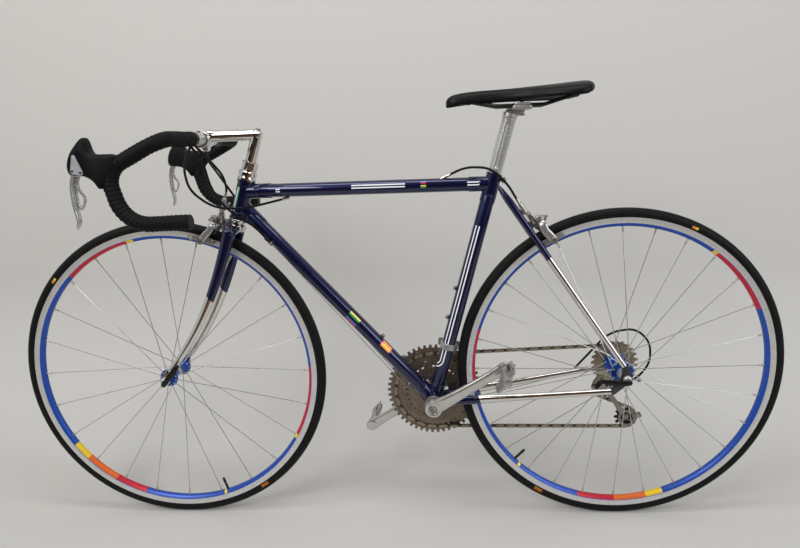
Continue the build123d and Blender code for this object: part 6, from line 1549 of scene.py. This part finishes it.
for wheel, face, out, up, axle, pad_out, breadth, body in BRAKES:
    level = (face + out * pad_out * MM - axle) / MM
    drop = math.sqrt(309.8 ** 2 - np.dot(level, out) ** 2) - np.dot(level, up)
    to_brake = np.stack((LEFT, out, up)) * MM
    pad_line = unit(np.array((0, pad_out, drop)) @ to_brake + face - axle)
    along_rim = np.array((-pad_line[2], 0, pad_line[0]))
    for arm, side, depth, top in (("inner", -1, 10.5, ((26, 10, 38, 4.0, 4.2), (25, 10, 31, 4.6, 4.8),
            (14, 10.5, 20, 5.0, 5.6))), ("outer", 1, 22.5, ((26, 20, 13, 4.0, 4.2), (17, 22, 9, 5.2, 5.6)))):
        bend = [(side * x, 14 + (pad_out - 14) * ahead + extra, -6 + (drop + 6) * down, grow * breadth, thin)
            for x, ahead, extra, down, grow, thin in ((30.5, 0.42, 1.5, 0.32, 1.0, 4.4),
            (30.5, 0.76, 0.5, 0.64, 1.04, 4.2), (29.5, 1.0, 0.0, 0.92, 1.02, 4.2),
            (29.0, 1.04, 0.0, 1.16, 0.9, 4.0))]
        rows = np.array([*top, (0, depth + 0.5, 3, 5.7, 8.8), (side * 20, depth, 0.5, 6.0, 6.4),
            (side * 28.5, (depth + 20) / 2, -5, breadth, 5.2), *bend])
        forging(f"{wheel}_brake_arm_{arm}", face + rows[:, :3] @ to_brake, rows[:, 3:], out, body,
            brake_alloy, "alloy", *((f"{wheel}_brake",) if side > 0 else ()))
        shoe = face + np.array((side * 15.75, pad_out, drop)) @ to_brake
        plate(f"{wheel}_brake_pad_{arm}", shoe, along_rim, pad_line, [(-19, 0, 4.0), (19, 0, 4.0)], -4.0,
            4.0, body, pad_rubber, "rubber", edge=1.2)
        plate(f"{wheel}_brake_shoe_{arm}", shoe + LEFT * side * 0.0035, along_rim, pad_line,
            [(-20, 0, 4.9), (20, 0, 4.9)], -1.3, 1.3, body, brake_alloy, "alloy", edge=0.5)
        revolve(f"{wheel}_pad_bolt_{arm}", shoe, LEFT * side, ((4, 0.2), (4, 4.0), (18.5, 4.0), (18.5, 6.2),
            (19.2, 6.9), (21.0, 6.9), (21.8, 6.1), (21.8, 3.9), (19.4, 3.5), (19.4, 0.2)), body, steel,
            "steel", count=40)
        loop = np.linspace(0.3, 2 * math.pi - 0.3, 40)[:, None]
        end = shoe + along_rim * (-0.024 if wheel == "front" else -0.022) + LEFT * side * 0.010
        wire = end + along_rim * np.cos(loop) * 0.006 + pad_line * np.sin(loop) * 0.0052
        grid = sweep(wire, circle(0.0011, 16))
        skin(f"{wheel}_wheel_guide_{arm}", grid, body, steel, "steel")
        spring = rounded_route([(side * 5, 3, 5), (side * 15, 4, 9), (side * 25, 5, 0),
            (side * 27, 14, -22)], (6, 8), step=1.0)
        grid = sweep(face + spring @ to_brake, circle(0.0011, 16), out)
        skin(f"{wheel}_brake_spring_{arm}", grid, body, dark_steel, "black_steel")
    revolve(f"{wheel}_brake_pivot", face, out, ((0, 0.2), (0, 6.4), (2.6, 6.8), (3.2, 5.2), (28.6, 5.2),
        (29.0, 7.4), (32.4, 7.4), (33.0, 6.6), (40.6, 1.4), (41.4, 0.2)), body, steel, "steel", count=6,
        sharp=20)
    barrel_foot = face + np.array((26, 8, 0)) @ to_brake
    revolve(f"{wheel}_cable_adjuster", barrel_foot, up, ((33, 0.2), (33, 3.1), (42, 3.1), (43, 3.6),
        (45.4, 3.6), (46, 4.8), (55.4, 4.8), (56.2, 4.0), (56.6, 3.5), (58, 3.3), (58, 0.2)), body,
        brake_alloy, "alloy", count=18, sharp=18)
    rod(f"{wheel}_brake_cable", barrel_foot + up * 0.034, face + np.array((25, 19, 8)) @ to_brake, 0.0008,
        body, steel, "steel", count=12)
    revolve(f"{wheel}_cable_anchor", face + np.array((26, 0, 12)) @ to_brake, out,
        ((15, 0.2), (15, 5.2), (19, 5.2), (19.4, 6.0), (21, 6.0), (21.4, 4.6), (26.5, 4.6), (27.2, 3.8),
        (27.2, 0.2)), body, steel, "steel", count=24)
    plate(f"{wheel}_release_lever", barrel_foot, out, up, [(-1, 33, 4.2), (-9, 40, 3.4), (-13, 50, 2.6)],
        3.5, 5.5, body, brake_alloy, "alloy", edge=0.6)

# ---- front derailleur ----
# A steel cage of two bent plates hangs beside the largest chainring from an aluminium linkage and
# a band that is bolted round the seat tube.
CAGE_TURN = np.linspace(math.radians(96), math.radians(138), 48)[:, None]
mech_foot = seat_axis(52.0)
mech_alloy = metal("derailleur_alloy", (0.48, 0.48, 0.47), 0.26, scratch=0.2, patina=0.3)
cage_steel = metal("cage_steel", (0.50, 0.49, 0.46), 0.2, scratch=0.2, patina=0.35)
revolve("front_mech_band", mech_foot, SEAT_UP, ((-6.5, 14.5), (-6.5, 16.2), (-5.8, 16.9), (5.8, 16.9),
    (6.5, 16.2), (6.5, 14.5)), "frame", mech_alloy, "alloy", "front_derailleur")
rod("front_mech_band_bolt", mech_foot + SEAT_BACK * 0.0205 + LEFT * 0.008, mech_foot + SEAT_BACK * 0.0205 -
    LEFT * 0.008, 0.0030, "frame", steel, "steel", count=24)
for number, (y, height) in enumerate(((-39.2, 7.5), (-51.8, 7.5))):
    reach = 115.6 + 1.4 * np.cos((CAGE_TURN - CAGE_TURN.mean()) * 6)
    path = BB + (np.cos(CAGE_TURN) * AHEAD + np.sin(CAGE_TURN) * UP) * reach * MM + LEFT * y * MM
    tall = height * (0.80 + 0.20 * np.sin((CAGE_TURN - CAGE_TURN[0]) / np.ptp(CAGE_TURN) * math.pi))
    turn = full_turn(32)
    section = np.stack((np.cos(turn), np.sin(turn)), -1)
    section = np.sign(section) * np.abs(section) ** 0.4 * np.concatenate((0.6 * np.ones_like(tall), tall),
        -1)[:, None]
    grid = sweep(path, section * MM)
    skin(f"front_mech_cage_{number}", grid, "frame", cage_steel, "alloy")
cage_top = BB + (AHEAD * math.cos(math.radians(111)) + UP * math.sin(math.radians(111))) * 0.1191
cage_back = BB + (AHEAD * math.cos(math.radians(136)) + UP * math.sin(math.radians(136))) * 0.1165
rod("front_mech_cage_pin", cage_back - LEFT * 0.0386, cage_back - LEFT * 0.0524, 0.0026, "frame", steel,
    "steel", count=20)
rod("front_mech_cage_bridge", cage_top - LEFT * 0.026, cage_top - LEFT * 0.0524, 0.0032, "frame", steel,
    "steel")
foot = mech_foot - LEFT * 0.0153
forging("front_mech_body",
    np.array((foot, foot + LEFT * -0.006 + SEAT_BACK * 0.005, foot + LEFT * -0.0115 + SEAT_BACK * 0.010)),
    [(7.5, 7.0), (8.2, 7.4), (6.6, 6.4)], UP, "frame", mech_alloy, "alloy")
for number, (rise, y) in enumerate(((7.0, -27.5), (-6.0, -31.0))):
    start = mech_foot + SEAT_BACK * 0.006 + UP * rise * MM + LEFT * y * MM
    end = cage_top + SEAT_BACK * 0.006 + UP * (rise - 4) * MM + LEFT * y * MM
    forging(f"front_mech_link_{number}", np.array((start, (start + end) / 2, end)),
        [(5.2, 2.6), (4.0, 2.2), (5.0, 2.6)], UP, "frame", mech_alloy, "alloy")
    for tip, place in enumerate((start, end)):
        rod(f"front_mech_pivot_{number}_{tip}", place - LEFT * 0.0035, place + LEFT * 0.0035, 0.0030,
            "frame", steel, "steel", count=20)
for number in (0, 1):
    screw = foot + SEAT_BACK * (0.004 + 0.006 * number) - LEFT * 0.008 + UP * 0.006
    rod(f"front_mech_screw_{number}", screw, screw + UP * 0.008, 0.0018, "frame", steel, "steel", count=20)

# ---- rear derailleur ----
# Cast knuckles joined by two links move a long sprung cage, whose two plates hold the pulleys; the
# grey finish is worn olive. The housing enters a barrel adjuster behind.
olive_alloy = metal("worn_derailleur_alloy", (0.30, 0.29, 0.255), 0.3, scratch=0.2, patina=0.4, bump=0.1)
for number, y in enumerate((-40.1, -50.9)):
    bent_blade(f"rear_mech_plate_{number}", at(0, y, 0), [(17, -61, 9.2), (15, -66, 9.0), (6, -77, 6.6),
        (-7, -93, 5.0), (-16, -107, 5.6), (-22, -117, 6.2), (-25, -121, 5.0)], 0.9, "frame", olive_alloy,
        "alloy", *(("rear_derailleur",) if number == 0 else ()), power=0.4)
    tip = TENSION_PULLEY + np.array((-2.0, y, -1.5)) * MM
    revolve(f"rear_mech_ring_{number}", tip, LEFT, ((-0.9, 13.6), (-0.9, 18.4), (-0.5, 18.9), (0.5, 18.9),
        (0.9, 18.4), (0.9, 13.6)), "frame", olive_alloy, "alloy")
    for spoke in range(3):
        turn = math.radians(100 + 120 * spoke)
        out = np.array((math.cos(turn), 0, math.sin(turn)))
        rod(f"rear_mech_ring_spoke_{number}_{spoke}", tip + out * 0.004, tip + out * 0.0145, 0.0011, "frame",
            olive_alloy, "alloy", count=12)
    bent_blade(f"rear_mech_tail_{number}", at(0, y, 0), [(-47, -131, 5.6), (-54, -130, 4.4),
        (-62, -129, 4.0), (-67, -128.5, 3.8)], 0.9, "frame", olive_alloy, "alloy", power=0.4)
for number, centre in enumerate((GUIDE_PULLEY, TENSION_PULLEY)):
    revolve(f"rear_mech_pulley_bolt_{number}", centre, LEFT, ((-53.6, 0.2), (-53.6, 4.4), (-53.0, 5.0),
        (-51.0, 5.0), (-51.0, 2.7), (-41, 2.7), (-41, 5.2), (-38.9, 5.2), (-38.4, 4.6), (-38.4, 2.4),
        (-39.8, 2.1), (-39.8, 0.2)), "frame", steel, "steel", count=32)
rod("rear_mech_tail_pin", at(-64, -40.2, -128.7), at(-64, -51.0, -128.7), 0.0026, "frame", steel, "steel",
    count=20)
lower_knuckle = at(22, 0, -55)
revolve("rear_mech_lower_knuckle", lower_knuckle, LEFT, ((-66, 0.2), (-66, 6), (-65, 9.4), (-63.6, 10.3),
    (-54, 10.3), (-52.6, 9.4), (-51.9, 9.0), (-51.9, 0.2)), "frame", olive_alloy, "alloy")
revolve("rear_mech_upper_knuckle", at(7, 0, -27), LEFT, ((-86, 0.2), (-86, 5.0), (-85, 5.4), (-84.6, 8.6),
    (-83.8, 9.4), (-73, 9.4), (-72.2, 10.0), (-71.2, 10.0), (-71.2, 0.2)), "frame", olive_alloy, "alloy")
revolve("rear_mech_hanger_bolt", at(7, 0, -27), LEFT, ((-88, 2.6), (-88, 4.6), (-86, 5.2), (-84, 5.2),
    (-84, 0.2), (-86.4, 0.2), (-86.4, 2.3)), "frame", steel, "steel", count=36)
plate("rear_mech_stop_plate", at(7, 0, -27), AHEAD, UP, [(0, 0, 7), (-18, 3, 4)], -82.5, -75.5, "frame",
    olive_alloy, "alloy", edge=1.4)
for number, (shift, thick) in enumerate(((-6.0, 3.2), (5.0, 2.8))):
    forging(f"rear_mech_link_{number}",
        np.array((at(12 + shift * 0.8, -78, -33 + shift * 0.4), at(17 + shift, -71, -44),
        at(22 + shift * 0.8, -62, -54 + shift * 0.4))), [(thick, 7.2), (thick + 0.6, 6.6), (thick, 7.0)],
        AHEAD, "frame", olive_alloy, "alloy")
revolve("rear_mech_adjuster", at(16, -60, -63), unit(np.array((-38, -12, -12))),
    ((0, 0.2), (0, 4.2), (28, 4.2), (28.6, 5.0), (40.2, 4.6), (41.4, 3.4), (41.4, 0.2)), "frame",
    olive_alloy, "alloy", count=36)
barrel_line = unit(np.array((-50.0, -12.0, 20.0)))
revolve("rear_mech_barrel", at(-22, -72, -75) - barrel_line * 0.001, barrel_line,
    ((0, 0.2), (0, 3.6), (1, 4.6), (7.4, 4.6), (8.0, 3.6), (11, 3.3), (11, 0.2)), "frame", dark_steel,
    "black_steel", count=16, sharp=18)

# ---- cable stops and bare cables ----
# Black barrel adjusters sit on brazed bosses beside the down tube, short sleeves carry the brake
# cable through the top tube, and a plastic block under the shell guides the bare gear cables.
black_barrel = matte("adjuster_black", (0.012, 0.012, 0.013), 0.35, 900.0, 0.15)
down_run = unit(BB - down_line[1])
DOWN_NORMAL = np.array((down_run[2], 0, -down_run[0]))


def down_stop(side, distance):
    """Point on a gear cable's line beside the down tube, in mm from the head tube."""
    return down_line[1] + down_run * distance * MM + (LEFT * side * 17.5 - DOWN_NORMAL * 7.4) * MM


ENTRY, ENTRY_BEND = (head_axis(TOP_TUBE_Z) + np.array(p) * MM for p in ((-80.2, 6, -17.9),
    (-12.2, 40, -31.5)))
EXIT, EXIT_BEND = (seat_axis(TOP_TUBE_Z) + np.array(p) * MM for p in ((90.6, 2, 17.1), (52.6, 10, 34.5)))
STAY_STOP, STAY_LOOP = at(78, -71.8, -34), at(-2, -82, 50)
stay_stop_line = unit(STAY_LOOP - STAY_STOP)
for side, name in SIDES:
    revolve(f"down_tube_adjuster_{name}", down_stop(side, 0), down_run, ((82, 0.2), (82, 3.0), (83, 3.9),
        (84, 4.1), (91, 4.1), (91.8, 3.3), (94.2, 3.3), (95, 4.1), (102.6, 4.1), (104, 3.2), (104, 0.2)),
        "frame", black_barrel, "black_steel", *(("cable_stops",) if side > 0 else ()), count=20, sharp=18)
    foot = down_line[1] + down_run * 0.100 + LEFT * side * 0.009 - DOWN_NORMAL * 0.004
    rod(f"down_tube_boss_{name}", foot, down_stop(side, 100), 0.0040, "frame", blue_lugs, "blue_frame")
    revolve(f"down_tube_adjuster_bolt_{name}", down_stop(side, 100), LEFT * side,
        ((1, 0.2), (1, 3.4), (4.6, 3.4), (5.2, 2.8), (5.2, 0.2)), "frame", steel, "steel", count=24)
    rod(f"gear_cable_{name}", down_stop(side, 103), BB + np.array((13, side * 8, -22.8)) * MM, 0.0008,
        "frame", steel, "steel", *(("gear_cables",) if side > 0 else ()), count=16)
rod("gear_cable_stay", BB + np.array((-8, -8, -22.8)) * MM, STAY_STOP - stay_stop_line * 0.009, 0.0008,
    "frame", steel, "steel", count=16)
plate("cable_guide", BB, AHEAD, UP, [(-5, -20.6, 3.4), (9.6, -20.6, 3.4)], -13, 13, "frame", black_barrel,
    "plastic", edge=1.2)
revolve("stay_cable_stop", STAY_STOP - stay_stop_line * 0.010, stay_stop_line,
    ((0, 1.0), (0, 2.6), (1, 3.5), (10, 3.6), (10, 2.5), (4, 2.5), (4, 1.0)), "frame", chrome, "chrome",
    count=32)
rod("stay_stop_foot", STAY_STOP - stay_stop_line * 0.008 + LEFT * 0.006, STAY_STOP - stay_stop_line * 0.008,
    0.003, "frame", chrome, "chrome")
for name, start, toward, length in (("entry", ENTRY, ENTRY_BEND, 14), ("exit", EXIT, EXIT_BEND, 12)):
    line = unit(toward - start)
    revolve(f"top_tube_sleeve_{name}", start, -line, ((-0.3, 2.5), (-0.3, 3.1), (0.4, 3.4), (length, 3.4),
        (length, 2.5)), "frame", chrome, "chrome", count=32)

# ---- cable housings ----
# Black plastic tube over wound steel, 5 mm thick, with metal end caps. The brake and gear housings
# leave the bar under the tape; three of them run from the bar to the frame and stay on no moving
# body.
housing_plastic = matte("housing_plastic", (0.005, 0.005, 0.006), 0.32, 1200.0, 0.06)
front_top, rear_top = (face + (up * 58 + out * 8 + LEFT * 26) * MM for _, face, out, up, *_ in BRAKES)
ROUTES = {"front_brake_housing": (at(834, 66, 486), at(812, 50, 455), at(795, 32, 425), front_top + HEAD_UP *
    0.018, front_top), "rear_brake_housing_front": (at(840, 67, 486), at(855, 80, 446), at(846, 84, 400),
    at(806, 68, 363), ENTRY_BEND, ENTRY + unit(ENTRY_BEND - ENTRY) * 0.0003), "rear_brake_housing_rear":
    (EXIT, EXIT_BEND, at(262, 25, 422), at(228, 27, 385), rear_top + STAY_UP * 0.016, rear_top),
    "left_shift_housing": (at(838, 78, 486), at(822, 60, 452), at(815, 50, 398), at(788, 38, 354),
    down_stop(1, 52), down_stop(1, 81.7)), "right_shift_housing": (at(842, -67, 486), at(858, -52, 460),
    at(815, -36, 404), at(780, -30, 352), down_stop(-1, 52), down_stop(-1, 81.7)), "rear_derailleur_housing":
    (STAY_STOP, STAY_LOOP, at(-60, -85, 57), at(-93, -86, 25), at(-95, -86, -22), at(-72, -84, -55),
    at(-22, -72, -75) + barrel_line * 0.010)}
for name, corners in ROUTES.items():
    origin = corners[0]
    route = origin + rounded_route((np.array(corners) - origin) / MM, step=2.0) * MM
    inset = np.ones(len(route))
    inset[[0, -1]] = 0.8
    grid = sweep(route, circle(inset * 0.0024, 20))
    hose = new_mesh(f"{name}_tube", grid, grid_faces(*grid.shape[:2]))
    if name in ("rear_brake_housing_front", "left_shift_housing", "right_shift_housing"):
        hose.data.materials.append(housing_plastic)
        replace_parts(hose, name)
        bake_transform(hose)
    else:
        fit(hose, "steering" if name == "front_brake_housing" else "frame", housing_plastic, "plastic", name)
for name, body, place, line in (("front_brake", "steering", front_top, HEAD_UP),
        ("rear_brake", "frame", rear_top, STAY_UP), ("top_tube_exit", "frame", EXIT, unit(EXIT_BEND - EXIT)),
        ("stay", "frame", STAY_STOP, stay_stop_line), ("rear_mech", "frame", at(-22, -72, -75) + barrel_line
        * 0.010, barrel_line)):
    revolve(f"end_cap_{name}", place, line, ((-2, 2.45), (-2, 2.9), (9, 2.9), (10, 2.6), (10, 2.45)), body,
        chrome, "chrome", count=28)

# ---- pieces whose CAD shape stays ----
black_rubber = matte("black_rubber", (0.008, 0.008, 0.009), 0.55, 900.0, 0.3)
shown = set()
for made in bpy.data.objects:
    for name in (made.get("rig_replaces") or []):
        shown.add(name)


def refined(name, material, sharp=32.0):
    """Copy of a CAD piece with its corners merged, shaded smooth; it replaces the piece."""
    source = frame["nodes"][name]
    made = bpy.data.objects.new(name + "_shown", source.data.copy())
    scene.collection.objects.link(made)
    shell = bmesh.new()
    shell.from_mesh(made.data)
    bmesh.ops.remove_doubles(shell, verts=shell.verts, dist=5e-6)
    bmesh.ops.dissolve_degenerate(shell, edges=shell.edges, dist=2e-6)
    shell.to_mesh(made.data)
    shell.free()
    made.data.materials.clear()
    made.data.materials.append(material)
    made.data.shade_smooth()
    made.data.set_sharp_from_angle(angle=math.radians(sharp))
    body = source.parent.name.replace("body:", "")
    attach(made, body)
    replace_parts(made, name)
    return made


FINISH = {"blue_frame": blue_lugs, "chrome": chrome, "alloy": alloy, "rim_alloy": satin_alloy,
    "blue_anodised": satin_alloy, "dark_alloy": steel, "steel": steel, "black_steel": dark_steel,
    "tyre": black_rubber, "rubber": black_rubber, "tape": black_rubber, "saddle_skin": black_rubber,
    "plastic": black_rubber}
slot_of = {part["node"]: part["material_slot"] for part in frame["record"]["subparts"]}
for name in frame["nodes"]:
    if name not in shown:
        refined(name, FINISH[slot_of[name]])
